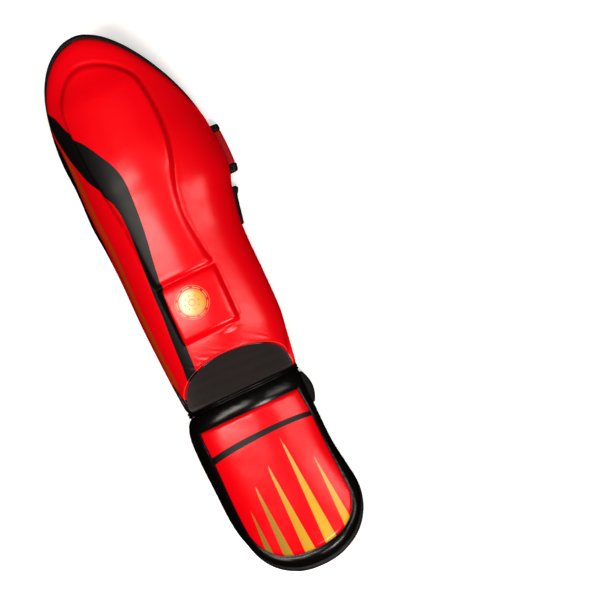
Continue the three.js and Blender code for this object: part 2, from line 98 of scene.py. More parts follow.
camera = bpy.data.objects.new("camera", bpy.data.cameras.new("camera"))
bpy.context.scene.collection.objects.link(camera)
turn = Matrix((sideways, upwards, backwards)).transposed().to_4x4()
camera.matrix_world = Matrix.Translation(Vector(placed(eye))) @ turn
camera.data.sensor_width = SENSOR_WIDTH
camera.data.lens = SENSOR_WIDTH * (eye - aim).length / PICTURE_WIDTH
camera.data.clip_end = 20
bpy.context.scene.camera = camera
print("lens", round(camera.data.lens, 1))

# %% [markdown]
# ## Light
#
# The photograph shows two long soft highlights down the shin: one just left of the middle, one well
# to the right. A highlight lies where the surface's normal halves the angle between camera and
# light, so two narrow boxes stand 27 degrees to the left and 47 degrees to the right, along the
# guard's length. A small box beyond the toes lights the instep's rolled border. A broad box above,
# which gloss doesn't see, fills the shadows. A view gamma below 1 deepens the middle tones.

# %% Lights
WARM = (1.0, 0.93, 0.88)
TOE_TARGET = -0.25
WORLD_STRENGTH = 0.1
VIEW_GAMMA = 0.85


def strip_box(name, degrees, reach, size, power, along=0.0, height=None):
    """
    A soft box on a circle round the guard: reach times the sine of its angle across, and times the
    cosine up. With a height of its own it stands at that height and looks at the toes.
    """
    light = bpy.data.lights.new(name, "AREA")
    light.shape = "RECTANGLE"
    light.size, light.size_y = size
    light.energy = power
    light.color = WARM
    lamp = bpy.data.objects.new(name, light)
    bpy.context.scene.collection.objects.link(lamp)
    angle = math.radians(degrees)
    lamp.location = (reach * math.sin(angle), along, height or reach * math.cos(angle))
    target = Vector((0, along if height is None else TOE_TARGET, 0))
    lamp.rotation_euler = (Vector(lamp.location) - target).to_track_quat("Z", "Y").to_euler()
    return lamp


strip_box("box_left", -27, 1.9, (0.28, 1.5), 17, along=-0.15)
strip_box("box_right", 47, 1.9, (0.28, 1.4), 8.5, along=-0.3)
strip_box("box_toe", 12, 1.9, (0.5, 0.45), 12, along=-1.05, height=1.3)
soft_sky = strip_box("soft_sky", 4, 2.6, (1.5, 1.8), 27)
soft_sky.visible_glossy = False

world = bpy.data.worlds.new("pale_sky")
bpy.context.scene.world = world
world.use_nodes = True
background = world.node_tree.nodes["Background"]
background.inputs["Color"].default_value = (1, 1, 1, 1)
background.inputs["Strength"].default_value = WORLD_STRENGTH
world.cycles_visibility.glossy = False
bpy.context.scene.view_settings.view_transform = "Standard"
bpy.context.scene.view_settings.gamma = VIEW_GAMMA
print("lights:", len(bpy.data.lights))

# %% [markdown]
# ## Writing finishes as sums
#
# A finish is a tree of nodes, but it is easier to read as an expression. The class below wraps one
# output socket; adding, multiplying or comparing two of them adds the Math node that does it, and a
# number may stand on either side, as in 1 - mask. Colours go through Mix nodes, and heights through
# Bump nodes into the normal.

# %% A socket that takes part in sums
class Value:
    """One output socket, which adds Math nodes when it is used in an expression."""

    def __init__(self, finish, socket):
        self.finish = finish
        self.socket = socket

    def maths(self, operation, *others):
        return self.finish.maths(operation, self, *others)

    def __add__(self, other):
        return self.maths("ADD", other)

    def __sub__(self, other):
        return self.maths("SUBTRACT", other)

    def __rsub__(self, other):
        return self.finish.maths("SUBTRACT", other, self)

    def __mul__(self, other):
        return self.maths("MULTIPLY", other)

    __radd__ = __add__
    __rmul__ = __mul__

    def most(self, other):
        return self.maths("MAXIMUM", other)

    def size(self):
        return self.maths("ABSOLUTE")

    def wave(self):
        return self.maths("SINE")

    def root(self):
        return self.maths("SQRT")


class Finish:
    """A material under construction, with the one method that makes any node."""

    def __init__(self, name, slot_name):
        self.material = bpy.data.materials.new(name)
        self.material.use_nodes = True
        self.slot_name = slot_name
        self.tree = self.material.node_tree
        self.shader = self.tree.nodes["Principled BSDF"]

    def node(self, kind, settings, inputs):
        """A node of a type: its settings first, then its sockets' values or links."""
        node = self.tree.nodes.new(kind)
        for name, value in settings.items():
            setattr(node, name, value)
        for name, value in inputs.items():
            self.feed(node.inputs[name], value)
        return node

    def feed(self, socket, value):
        if isinstance(value, Value):
            self.tree.links.new(value.socket, socket)
        else:
            socket.default_value = value

    def out(self, node, name):
        return Value(self, node.outputs[name])

    def maths(self, operation, *terms):
        """A Math node on values and numbers, in the order in which they are given."""
        return self.out(self.node("ShaderNodeMath", {"operation": operation}, dict(enumerate(terms))), 0)

    def attribute(self, name):
        return self.out(self.node("ShaderNodeAttribute", {"attribute_name": name}, {}), "Fac")

    def skin(self):
        """The piece's own flat coordinates in millimetres: across it and along it."""
        flat = self.out(self.node("ShaderNodeUVMap", {"uv_map": "skin"}, {}), "UV")
        parts = self.node("ShaderNodeSeparateXYZ", {}, {"Vector": flat})
        return self.out(parts, "X") * 1000, self.out(parts, "Y") * 1000

    def place(self):
        return self.out(self.node("ShaderNodeTexCoord", {}, {}), "Object")

    def noise(self, cells_per_metre, detail=3.0, rough=0.5):
        inputs = {"Vector": self.place(), "Scale": cells_per_metre, "Detail": detail, "Roughness": rough}
        return self.out(self.node("ShaderNodeTexNoise", {}, inputs), "Fac")

    def pebbles(self, cells_per_metre):
        settings = {"feature": "DISTANCE_TO_EDGE"}
        inputs = {"Vector": self.place(), "Scale": cells_per_metre}
        return self.out(self.node("ShaderNodeTexVoronoi", settings, inputs), "Distance")

    def ramp(self, value, low, high):
        """A smooth step from 0 to 1 while the value runs from low to high."""
        node = self.node("ShaderNodeMapRange", {"interpolation_type": "SMOOTHSTEP"},
                         {"Value": value, "From Min": low, "From Max": high})
        return self.out(node, "Result")

    def mix(self, factor, first, second):
        """The first colour where the factor is 0, the second where it is 1."""
        node = self.node("ShaderNodeMix", {"data_type": "RGBA"}, {})
        self.feed(node.inputs["Factor"], factor)
        self.feed(node.inputs[6], first)
        self.feed(node.inputs[7], second)
        return Value(self, node.outputs[2])

    def bump(self, height, depth_mm, below=None):
        """A Bump node whose height of 1 stands for a depth in millimetres."""
        inputs = {"Height": height, "Distance": depth_mm * MM, "Strength": 1.0}
        if below is not None:
            inputs["Normal"] = below
        return self.out(self.node("ShaderNodeBump", {}, inputs), "Normal")

    def close(self, **sockets):
        """Feeds the shader's sockets, whose names have underscores for spaces here."""
        for name, value in sockets.items():
            self.feed(self.shader.inputs[name.replace("_", " ")], value)
        return self


def rgb(red, green, blue):
    """An opaque colour in linear values."""
    return (red, green, blue, 1.0)


print("finishes can be written now")

# %% [markdown]
# ## The floor
#
# The guard lies on a plain sheet, nearly white. The sheet glows a little by itself, so that it stays
# white between the lights, and neither gloss nor bounced light carries its white on to the red.

# %% Floor
FLOOR_HALF = 4
FLOOR_GLOW = 0.4
floor_finish = Finish("pale_floor", None)
floor_tone = floor_finish.mix(floor_finish.noise(3.0, 2.0), rgb(0.9, 0.9, 0.9), rgb(0.93, 0.93, 0.93))
floor_finish.close(Base_Color=floor_tone, Roughness=0.9,
                   Emission_Color=floor_tone, Emission_Strength=FLOOR_GLOW)
floor_mesh = bpy.data.meshes.new("floor")
floor_corners = [(-FLOOR_HALF, -FLOOR_HALF, 0), (FLOOR_HALF, -FLOOR_HALF, 0),
                 (FLOOR_HALF, FLOOR_HALF, 0), (-FLOOR_HALF, FLOOR_HALF, 0)]
floor_mesh.from_pydata(floor_corners, [], [(0, 1, 2, 3)])
floor_mesh.materials.append(floor_finish.material)
floor = bpy.data.objects.new("floor", floor_mesh)
bpy.context.scene.collection.objects.link(floor)
floor.visible_glossy = False
floor.visible_diffuse = False
print("floor", 2 * FLOOR_HALF, "metres wide")

# %% [markdown]
# ## The arch that both shells follow
#
# A shell is an arch carried along the leg. Across it runs s, from -1 at the left rim over the crown
# to 1 at the right rim, and along it y. Tables give the half widths, the crown, the angle that each
# side turns through and how high the rim is held, at a few places; a smooth curve runs through them.

# %% Tables of the two arches
class Form:
    """
    An arch. Each row of its table holds the share of the reach, the left and right half width as
    shares of half_width, the left and right turn in degrees, the crown as a share of height, and
    how much of the rim's lift is left there. way is 1 towards the knee and -1 towards the toes.
    """

    def __init__(self, rows, reach, half_width, height, way):
        self.rows = np.array(rows)
        self.reach = reach
        self.half_width = half_width
        self.height = height
        self.way = way


SHIN = Form([
    [0.0, 62 / 72, 58 / 72, 72, 80, 51 / 74, 0.9],
    [0.1, 0.885, 0.88, 76, 84, 0.75, 1],
    [0.16, 0.89, 0.92, 82, 86, 0.79, 1],
    [0.27, 0.9, 0.925, 86, 88, 0.84, 1],
    [0.4, 0.9, 0.93, 84, 88, 0.89, 1],
    [0.49, 0.93, 1.01, 74, 86, 0.935, 1],
    [0.56, 0.965, 1.1, 66, 84, 0.97, 1],
    [0.666, 0.955, 1.1, 62, 80, 1.0, 1],
    [0.74, 0.98, 1.08, 62, 72, 1.0, 1],
    [0.86, 1.02, 1.06, 62, 66, 0.985, 1],
    [1.0, 1.06, 1.03, 62, 62, 0.94, 1],
], 360, 72, 74, 1)
INSTEP = Form([
    [0.0, 62 / 65.5, 58 / 65.5, 72, 80, 51 / 50, 0.9],
    [0.1, 1.04, 0.87, 78, 80, 0.99, 0.9],
    [0.24, 1.06, 0.875, 80, 80, 0.96, 0.9],
    [0.45, 1.06, 0.875, 80, 80, 0.91, 0.3],
    [0.6, 1.055, 0.93, 78, 76, 0.87, 0.12],
    [0.75, 1.03, 0.99, 76, 74, 0.83, 0.1],
    [1.0, 1.02, 1.05, 76, 74, 0.76, 0.1],
], 171, 65.5, 50, -1)

# Padding, hem and trim in millimetres
PAD = 15
HEM_DROP = 5
HEM = 4
HEM_MIDDLE = HEM_DROP + HEM / 2
HEM_FLAT = 0.9
FACE_ROUND = 12
BACK_ROUND = 6
EDGE_LIFT = 9
CLEARANCE = 0.35
BINDING_WIDTH = 3.6
BINDING_HALF = 3.1
BINDING_SHOULDER = CLEARANCE + 0.55 * BINDING_WIDTH
# Where the sides end and the rounded ends begin, and how far those reach
SHIN_SHOULDER = 245.0
SHIN_DOME = 117
ARC_FOOT = 1.6
ARC_RISE = 37.9
INSTEP_SHOULDER = -109.0
INSTEP_DOME = 65.5
DOME_POWER = 2.2
# An arc's length over its chord's, and how strongly the columns crowd towards the rims
ARC_OVER_CHORD = 1.08
CROWDING = 0.42


def through(rows, column, at):
    """A smooth curve through a table's column: cubic pieces whose slopes are the neighbours' mean."""
    x = rows[:, 0]
    v = rows[:, column]
    slope = np.empty_like(v)
    slope[1:-1] = (v[2:] - v[:-2]) / (x[2:] - x[:-2])
    slope[0] = (v[1] - v[0]) / (x[1] - x[0])
    slope[-1] = (v[-1] - v[-2]) / (x[-1] - x[-2])
    at = np.clip(at, x[0], x[-1])
    i = np.clip(np.searchsorted(x, at) - 1, 0, len(x) - 2)
    span = x[i + 1] - x[i]
    t = (at - x[i]) / span
    a = slope[i] * span
    b = slope[i + 1] * span
    rise = v[i + 1] - v[i]
    return v[i] + t * (a + t * (3 * rise - 2 * a - b + t * (a + b - 2 * rise)))


def quarter_round(t):
    """The height of a quarter circle: 0 at t = 0, 1 from t = 1 on."""
    return np.sqrt(1 - (1 - np.clip(t, 0, 1)) ** 2)


def soft_step(t):
    """A smooth step from 0 to 1: three times the square less twice the cube."""
    t = np.clip(t, 0, 1)
    return t * t * (3 - 2 * t)


def dome_share(t, power):
    """A rounded dome over -1 to 1: the root of one less the power of the distance from the middle."""
    return np.maximum(1 - np.abs(t) ** power, 0) ** (1 / power)


def bell(t):
    """1 in the middle, falling off as e to the minus square."""
    return np.exp(-t * t)


def turn_of(form, s, at):
    """The angle that a side of the arch turns through, in radians."""
    return np.radians(np.where(s < 0, through(form.rows, 3, at), through(form.rows, 4, at)))


def across_share(form, s, y):
    """How far across a point lies, as a share of the half width: the sine of s turns over that of one."""
    turned = turn_of(form, s, form.way * y / form.reach)
    return np.sin(s * turned) / np.sin(turned)


def arch(form, s, y):
    """The skin: half width times sin(s turn) across, and the cosine of the same angle for height."""
    s, y = np.broadcast_arrays(np.asarray(s, dtype=float), np.asarray(y, dtype=float))
    at = form.way * y / form.reach
    turned = turn_of(form, s, at)
    half = form.half_width * np.where(s < 0, through(form.rows, 1, at), through(form.rows, 2, at))
    sine, cosine = np.sin(turned), np.cos(turned)
    outer = (CLEARANCE + BINDING_WIDTH) * sine + BINDING_HALF / 2 * cosine
    inner = BINDING_SHOULDER * sine + BINDING_HALF * cosine
    rim = EDGE_LIFT * through(form.rows, 6, at) + HEM_MIDDLE * cosine + np.maximum(outer, inner)
    up = (np.cos(s * turned) - cosine) / (1 - cosine)
    crown = form.height * through(form.rows, 5, at)
    return np.stack([half * np.sin(s * turned) / sine, y, rim + (crown - rim) * up], axis=-1)


def unit(vectors):
    """Vectors divided by their lengths."""
    return vectors / np.linalg.norm(vectors, axis=-1, keepdims=True)


def arch_normal(form, s, y):
    """The outward normal: the cross product of a short step across and a short step along."""
    across = arch(form, s + 0.01, y) - arch(form, s - 0.01, y)
    along = arch(form, s, y + 1.0) - arch(form, s, y - 1.0)
    return unit(np.cross(across, along))


def lifted(form, s, y, offset):
    """A point of the skin moved along its normal by an offset."""
    return arch(form, s, y) + arch_normal(form, s, y) * np.asarray(offset)[..., None]


def run_per_share(form, s, y):
    """How many millimetres of skin one unit of s is worth."""
    return np.linalg.norm(arch(form, s + 0.01, y) - arch(form, s - 0.01, y), axis=-1) / 0.02


def distance_to_rim(form, s, y, lines):
    """The distance to the nearest edge, rounded where two edges meet by a sum of inverse cubes."""
    s, y = np.broadcast_arrays(s, y)
    run = run_per_share(form, s, y) * 0.02
    rim = arch(form, np.where(s < 0, -1.0, 1.0), y)
    crown = arch(form, np.zeros_like(s), y)
    reach = ARC_OVER_CHORD * np.hypot(rim[..., 0] - crown[..., 0], rim[..., 2] - crown[..., 2])
    nearness = 1 / np.maximum((1 - np.abs(s)) * reach, 1e-3) ** 3
    for line in lines:
        slope = (line(np.minimum(s + 0.01, 1)) - line(np.maximum(s - 0.01, -1))) / run
        gap = np.abs(line(s) - y) / np.hypot(1, slope)
        nearness = nearness + 1 / np.maximum(gap, 1e-3) ** 3
    return nearness ** (-1 / 3)


def column_shares(count, edge=1.0):
    """Places across the arch, closer together towards both rims: sines of even steps of an angle."""
    k = np.linspace(-1, 1, count + 1)
    return edge * np.sin(k * np.pi * CROWDING) / np.sin(np.pi * CROWDING)


def shin_top(s):
    """The shin's upper edge: a round dome over the calf."""
    return SHIN_SHOULDER + SHIN_DOME * dome_share(across_share(SHIN, s, SHIN_SHOULDER), 2.0)


def shin_bottom(s):
    """The arc over the ankle: a dome between two places near the rims, fuller on the right."""
    edge = np.where(s < 0, 0.86, 0.88)
    power = np.where(s < 0, 1.7, 2.0)
    return ARC_FOOT + ARC_RISE * dome_share(np.minimum(np.abs(s) / edge, 1), power)


def instep_top(s):
    """The instep's straight edge below the welt."""
    return np.full_like(s, -0.8)


def instep_bottom(s):
    """The instep's edge round the toes: a dome that is a little squarer than a circle."""
    return INSTEP_SHOULDER - INSTEP_DOME * dome_share(across_share(INSTEP, s, INSTEP_SHOULDER), DOME_POWER)


print("crown at the calf:", arch(SHIN, 0.0, 240.0).round(1))

# %% [markdown]
# ## From grids of points to meshes
#
# A surface is a grid of points; its faces join each point to its neighbours. A pad is two grids, a
# front and a back of one size, joined round their four edges. The mesh also carries a flat map of
# its skin in metres and, where something is printed on it, the distance to the print's edge at each
# vertex: between vertices that distance runs straight, so the shader finds a crisp edge.

# %% Meshes from grids
def grid_faces(rows, columns, first=0, ring=False):
    """Quads between neighbours on a grid; a ring also joins the last column to the first."""
    ids = first + np.arange(rows * columns).reshape(rows, columns)
    if ring:
        ids = np.concatenate([ids, ids[:, :1]], axis=1)
    a, b, c, d = ids[:-1, :-1], ids[:-1, 1:], ids[1:, 1:], ids[1:, :-1]
    return np.stack([a, b, c, d], axis=-1).reshape(-1, 4)


def shell_faces(rows, columns):
    """Front quads, back quads turned over, and the strip that joins the two round their edges."""
    front = grid_faces(rows, columns)
    back = grid_faces(rows, columns, rows * columns)[:, ::-1]
    ids = np.arange(rows * columns).reshape(rows, columns)
    round_edge = np.concatenate([ids[0, :], ids[1:, -1], ids[-1, -2::-1], ids[-2:0:-1, 0]])
    after = np.roll(round_edge, -1)
    other = rows * columns
    strip = np.stack([round_edge + other, after + other, after, round_edge], axis=-1)
    return front, np.concatenate([back, strip])


def make_piece(name, points, faces, finishes, replaced, flat=None, marks=None, which=None, caps=()):
    """A mesh object in the frame, with its flat map, its marks and the finish of each face."""
    mesh = bpy.data.meshes.new(name)
    mesh.from_pydata(placed(points.reshape(-1, 3)).tolist(), [], faces.tolist() + list(caps))
    mesh.polygons.foreach_set("use_smooth", np.ones(len(mesh.polygons), dtype=bool))
    for finish in finishes:
        mesh.materials.append(finish.material)
    if which is not None:
        mesh.polygons.foreach_set("material_index", which)
    corners = np.empty(len(mesh.loops), dtype=np.int32)
    mesh.loops.foreach_get("vertex_index", corners)
    if flat is not None:
        layer = mesh.uv_layers.new(name="skin")
        layer.data.foreach_set("uv", (flat.reshape(-1, 2)[corners] * MM).ravel())
    for mark, values in (marks or {}).items():
        layer = mesh.attributes.new(mark, "FLOAT", "POINT")
        layer.data.foreach_set("value", values.ravel().astype(np.float32))
    mesh.update()
    piece = bpy.data.objects.new(name, mesh)
    bpy.context.scene.collection.objects.link(piece)
    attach(piece, "root")
    if replaced:
        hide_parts(*replaced)
    print(name, len(mesh.vertices), "vertices,", len(mesh.polygons), "faces")
    return piece


def flat_across(form, s, y):
    """The flat map of an arch: the length of skin from the crown line, and y."""
    points = arch(form, s, y)
    steps = np.linalg.norm(np.diff(points, axis=1), axis=-1)
    length = np.concatenate([np.zeros((len(points), 1)), np.cumsum(steps, axis=1)], axis=1)
    middle = np.argmin(np.abs(s), axis=1)
    length = length - length[np.arange(len(length)), middle][:, None]
    return np.stack([length, y], axis=-1)


def make_pad(name, form, s, y, face, inner, finishes, node, marks=None):
    """A closed pad between two offsets from the skin; a second finish goes on its back and edge."""
    grids = np.stack([lifted(form, s, y, face), lifted(form, s, y, inner)])
    front_faces, back_faces = shell_faces(*y.shape)
    flat = flat_across(form, s, y)
    both = {mark: np.stack([values, values]) for mark, values in (marks or {}).items()}
    which = None
    if len(finishes) > 1:
        which = np.repeat([0, 1], [len(front_faces), len(back_faces)]).astype(np.int32)
    return make_piece(name, grids, np.concatenate([front_faces, back_faces]), finishes, [node],
                      np.stack([flat, flat]), both, which)


# %% [markdown]
# ## Finishes
#
# Synthetic leather is a smooth film over cloth: a little gloss, a fine pebbled grain about half a
# millimetre across, and slow dents where the foam under it gives. The black and gold prints are ink
# in the same film: it changes the colour, and black ink dulls the gloss. Tape, web, elastic and
# lining show threads.

# %% Grain, dents and wear
PRINT_EDGE = 0.12
INK = rgb(0.005, 0.004, 0.004)


def leather_normal(finish, grain=0.012, dents=0.5):
    """Two bumps: slow dents of the foam, and the fine grain on top of them."""
    slow = finish.bump(finish.noise(30.0, 2.0), dents)
    fine = finish.noise(900.0, 2.0) * 0.5 + finish.ramp(finish.pebbles(1400.0), 0.0, 0.35)
    return finish.bump(fine, grain, slow)


def wear(finish):
    """Faint uneven gloss, as handling leaves it."""
    return finish.ramp(finish.noise(24.0, 4.0, 0.6), 0.35, 0.7)


def red_ground(finish):
    """Two close reds in slow clouds."""
    return finish.mix(finish.noise(16.0, 3.0), rgb(0.8, 0.0, 0.006), rgb(0.86, 0.0, 0.008))


def printed(finish, mark):
    """1 inside a print and 0 outside it, from the mark's distance to the print's edge."""
    return finish.ramp(finish.attribute(mark), -PRINT_EDGE, PRINT_EDGE)


def close_red(finish, ground, ink, smooth):
    """Red leather: its roughness is an even value, a little wear, and more where there is ink."""
    finish.close(Base_Color=ground, Roughness=wear(finish) * 0.03 + ink * 0.2 + smooth,
                 Normal=leather_normal(finish), Specular_IOR_Level=0.5, Coat_Weight=0.05, Coat_Roughness=0.2)


# %% Red leather on the shin
red_shin = Finish("red_leather_shin", "red_leather")
shin_ink = printed(red_shin, "wave_mark")
ground = red_shin.mix(shin_ink, red_ground(red_shin), INK)
# The ray is gold print, but its two colours are a dark red-brown: painted shade for the shadowed left flank.
deep_in_ray = red_shin.ramp(red_shin.attribute("ray_mark"), 0.2, 3.5)
gold_tone = red_shin.mix(deep_in_ray, rgb(0.66, 0.014, 0.002), rgb(0.56, 0.055, 0.006))
ground = red_shin.mix(printed(red_shin, "ray_mark"), ground, gold_tone)
ground = red_shin.mix(printed(red_shin, "hem_mark"), ground, INK)
print("printed on the shin: wave, ray and hem")

# %% [markdown]
# The roundel on the ankle block is printed in gold. From outside in it has a thin line, nine dashes,
# another line, and a disc with a line near its edge, eight dots and a small ring. The disc's gold pales
# to cream on one side, which is a painted highlight. Its distances are measured from its middle on the
# flat map, in millimetres.

# %% The roundel
ROUNDEL_X = -1.1
ROUNDEL_Y = 95.0
DOT_RING = 6.6
across, along = red_shin.skin()
out_x = across - ROUNDEL_X
out_y = along - ROUNDEL_Y
from_middle = (out_x * out_x + out_y * out_y).root()
angle = out_y.maths("ARCTAN2", out_x)


def between(finish, value, low, high, soft):
    """1 inside a band of values, 0 outside it, with a soft edge."""
    past_low = finish.ramp(value, low - soft, low + soft)
    past_high = finish.ramp(value, high - soft, high + soft)
    return past_low * (1 - past_high)


outer_line = between(red_shin, from_middle, 15.6, 15.9, 0.12)
inner_line = between(red_shin, from_middle, 12.2, 12.6, 0.15)
dashes = between(red_shin, from_middle, 13.6, 14.4, 0.15) * red_shin.ramp((angle * 9.0).wave(), -0.7, -0.5)
disc = 1 - red_shin.ramp(from_middle, 11.75, 11.95)
disc_line = between(red_shin, from_middle, 10.75, 11.05, 0.1)
from_dot = (angle * 4.0).wave().size() * 0.55 + (from_middle - DOT_RING).size() * 0.28
dots = 1 - red_shin.ramp(from_dot, 0.2, 0.32)
small_ring = between(red_shin, from_middle, 2.5, 3.1, 0.12)
# The disc's gold, paler towards its left and towards the knee: the paleness is a painted highlight.
disc_painted_highlight = red_shin.ramp(out_x - out_y * 0.4, -9.0, 6.0)
disc_gold_and_highlight = red_shin.mix(disc_painted_highlight, rgb(0.92, 0.8, 0.5), rgb(0.74, 0.4, 0.05))
lines = outer_line.most(inner_line).most(dashes)
ground = red_shin.mix(lines * 0.9, ground, rgb(0.88, 0.46, 0.16))
ground = red_shin.mix(disc * 0.97, ground, disc_gold_and_highlight)
drawn = (disc_line.most(dots * 0.8)).most(small_ring) * disc
ground = red_shin.mix(drawn, ground, rgb(0.45, 0.12, 0.01))
close_red(red_shin, ground, shin_ink, 0.22)
print("nodes in the shin's finish:", len(red_shin.tree.nodes))

# %% Red leather on the instep
red_facing = Finish("red_leather_instep", "red_leather")
facing_ink = printed(red_facing, "band_mark")
ground = red_facing.mix(facing_ink, red_ground(red_facing), INK)
across, along = red_facing.skin()
to_the_right = red_facing.ramp(across, -40.0, 15.0)
to_the_tips = red_facing.ramp(along, -120.0, -60.0)
gold_tone = red_facing.mix(to_the_right, rgb(0.36, 0.21, 0.035), rgb(0.72, 0.42, 0.035))
gold_tone = red_facing.mix(to_the_tips, gold_tone, rgb(0.62, 0.45, 0.14))
ground = red_facing.mix(printed(red_facing, "spike_mark"), ground, gold_tone)
close_red(red_facing, ground, facing_ink, 0.21)
print("printed on the instep: band and spikes")

# %% [markdown]
# In the woven finishes a thread is a sine wave across or along the flat map. The number beside
# across or along is in radians for each millimetre: two pi divided by the distance between threads.

# %% Black leather, tape, cloths and thread
black_leather = Finish("black_leather_pad", "black_leather")
clouds = black_leather.noise(20.0, 3.0)
tone = black_leather.mix(clouds, rgb(0.003, 0.0026, 0.0024), rgb(0.006, 0.005, 0.0045))
black_leather.close(Base_Color=tone, Roughness=0.22 + 0.05 * wear(black_leather),
                    Normal=leather_normal(black_leather, 0.012, 0.6), Coat_Weight=0.05, Coat_Roughness=0.2)

binding_tape = Finish("binding_tape", "black_tape")
across, along = binding_tape.skin()
threads = ((along * 7.0 + across * 5.0).wave() * 0.5 + 0.5) * ((across * 9.0).wave() * 0.5 + 0.5)
tone = binding_tape.mix(threads, rgb(0.003, 0.003, 0.003), rgb(0.01, 0.0095, 0.009))
binding_tape.close(Base_Color=tone, Roughness=0.38 + 0.15 * threads, Normal=binding_tape.bump(threads, 0.08))

ankle_knit = Finish("ankle_knit", "stretch_fabric")
across, along = ankle_knit.skin()
ribs = ((across * 5.2).wave() * 0.5 + 0.5) * ((along * 4.1).wave() * 0.25 + 0.75)
folds = ankle_knit.bump(ankle_knit.noise(55.0, 2.0), 0.8)
mottle = ribs * 0.7 + ankle_knit.noise(120.0, 2.0) * 0.3
tone = ankle_knit.mix(mottle, rgb(0.008, 0.005, 0.0045), rgb(0.024, 0.014, 0.0125))
ankle_knit.close(Base_Color=tone, Roughness=0.82, Normal=ankle_knit.bump(ribs, 0.16, folds),
                 Sheen_Weight=0.25, Sheen_Roughness=0.5)

red_web = Finish("red_webbing", "red_web")
across, along = red_web.skin()
weave = ((along * 3.1).wave() * (across * 3.1).wave()) * 0.5 + 0.5
tone = red_web.mix(weave, rgb(0.36, 0.0, 0.006), rgb(0.66, 0.0, 0.012))
red_web.close(Base_Color=tone, Roughness=0.55, Normal=red_web.bump(weave, 0.18))

elastic = Finish("ribbed_elastic", "black_elastic")
across, along = elastic.skin()
ribs = (along * 3.6).wave() * 0.5 + 0.5
cross_ribs = (across * 6.0).wave() * 0.2 + 0.8
tone = elastic.mix(ribs * cross_ribs, rgb(0.003, 0.003, 0.003), rgb(0.014, 0.0135, 0.0135))
elastic.close(Base_Color=tone, Roughness=0.7, Normal=elastic.bump(ribs * cross_ribs, 0.22))

lining = Finish("tricot_lining", "black_leather")
across, along = lining.skin()
loops = ((along * 4.2).wave() * (across * 4.2 + (along * 2.1).wave()).wave()) * 0.5 + 0.5
tone = lining.mix(loops, rgb(0.006, 0.006, 0.0065), rgb(0.022, 0.021, 0.022))
slack = lining.bump(lining.noise(45.0, 2.0), 0.9)
lining.close(Base_Color=tone, Roughness=0.86, Normal=lining.bump(loops, 0.12, slack))


def thread_finish(name, slot_name, dark, light):
    """Twisted thread: its two tones and its bump follow one fine noise."""
    finish = Finish(name, slot_name)
    twist = finish.noise(2600.0, 2.0)
    finish.close(Base_Color=finish.mix(twist, dark, light), Roughness=0.5, Normal=finish.bump(twist, 0.05))
    return finish


rose_thread = thread_finish("rose_thread", "red_leather", rgb(0.55, 0.1, 0.09), rgb(0.85, 0.3, 0.25))
black_thread = thread_finish("black_thread", "black_tape", rgb(0.01, 0.01, 0.01), rgb(0.05, 0.05, 0.05))
print("finishes:", len(bpy.data.materials))

# %% [markdown]
# ## The shin pad
#
# Foam lies between a leather face and a cloth lining, and both are sewn together at a thin hem. So
# the face swells from the hem in a quarter round, and a raised bolster runs up the middle: a block
# over the ankle, a waist, and a broad drop shape over the calf. Sewing pulls the skin into small
# puckers beside the hem. The shape is given here rather than by a cloth simulation, because
# the bolster's steps and its sewn foot are narrower than a simulation's grid.

# %% The bolster
# Each row: share of the shin's reach, half width on the right, height; both as shares of the values below
BOLSTER = np.array([
    [0.15, 0.7, 0.0], [0.17, 0.7, 0.0], [0.184, 0.7, 0.5], [0.33, 0.71, 0.48], [0.37, 0.65, 0.4],
    [0.46, 0.585, 0.38], [0.515, 0.625, 0.42], [0.565, 0.73, 0.58], [0.615, 0.87, 0.88], [0.68, 0.98, 1.0],
    [0.77, 0.985, 1.0], [0.83, 0.925, 0.95], [0.877, 0.78, 0.85],
])
# Each row: share of the reach, half width on the left
BOLSTER_LEFT = np.array([
    [0.15, 0.6], [0.184, 0.6], [0.33, 0.62], [0.37, 0.66], [0.46, 0.68], [0.515, 0.7], [0.565, 0.74],
    [0.615, 0.79], [0.68, 0.84], [0.77, 0.87], [0.83, 0.86], [0.877, 0.8],
])
BOLSTER_HALF = 42
BOLSTER_RISE = 7.5
BOLSTER_SLOPE = 7.5
# The rounded end over the calf: where it starts and stops, its power, its drift and how far it sinks
END_START = 0.83 * SHIN.reach
END_STOP = 333.5
END_POWER = 1.8
END_DRIFT = 4.5
END_SINK = 0.55
# The crease above the block, the sewn foot beside the step, and the lip at the block's lower corner
CREASE_Y = 119.5
CREASE_DEPTH = 2.6
VALLEY_DEPTH = 0.9
FOOT_DEPTH = 0.6
FOOT_OUT = 3.2
LIP_X = 19
LIP_Y = 59.5
LIP_RISE = 1.3


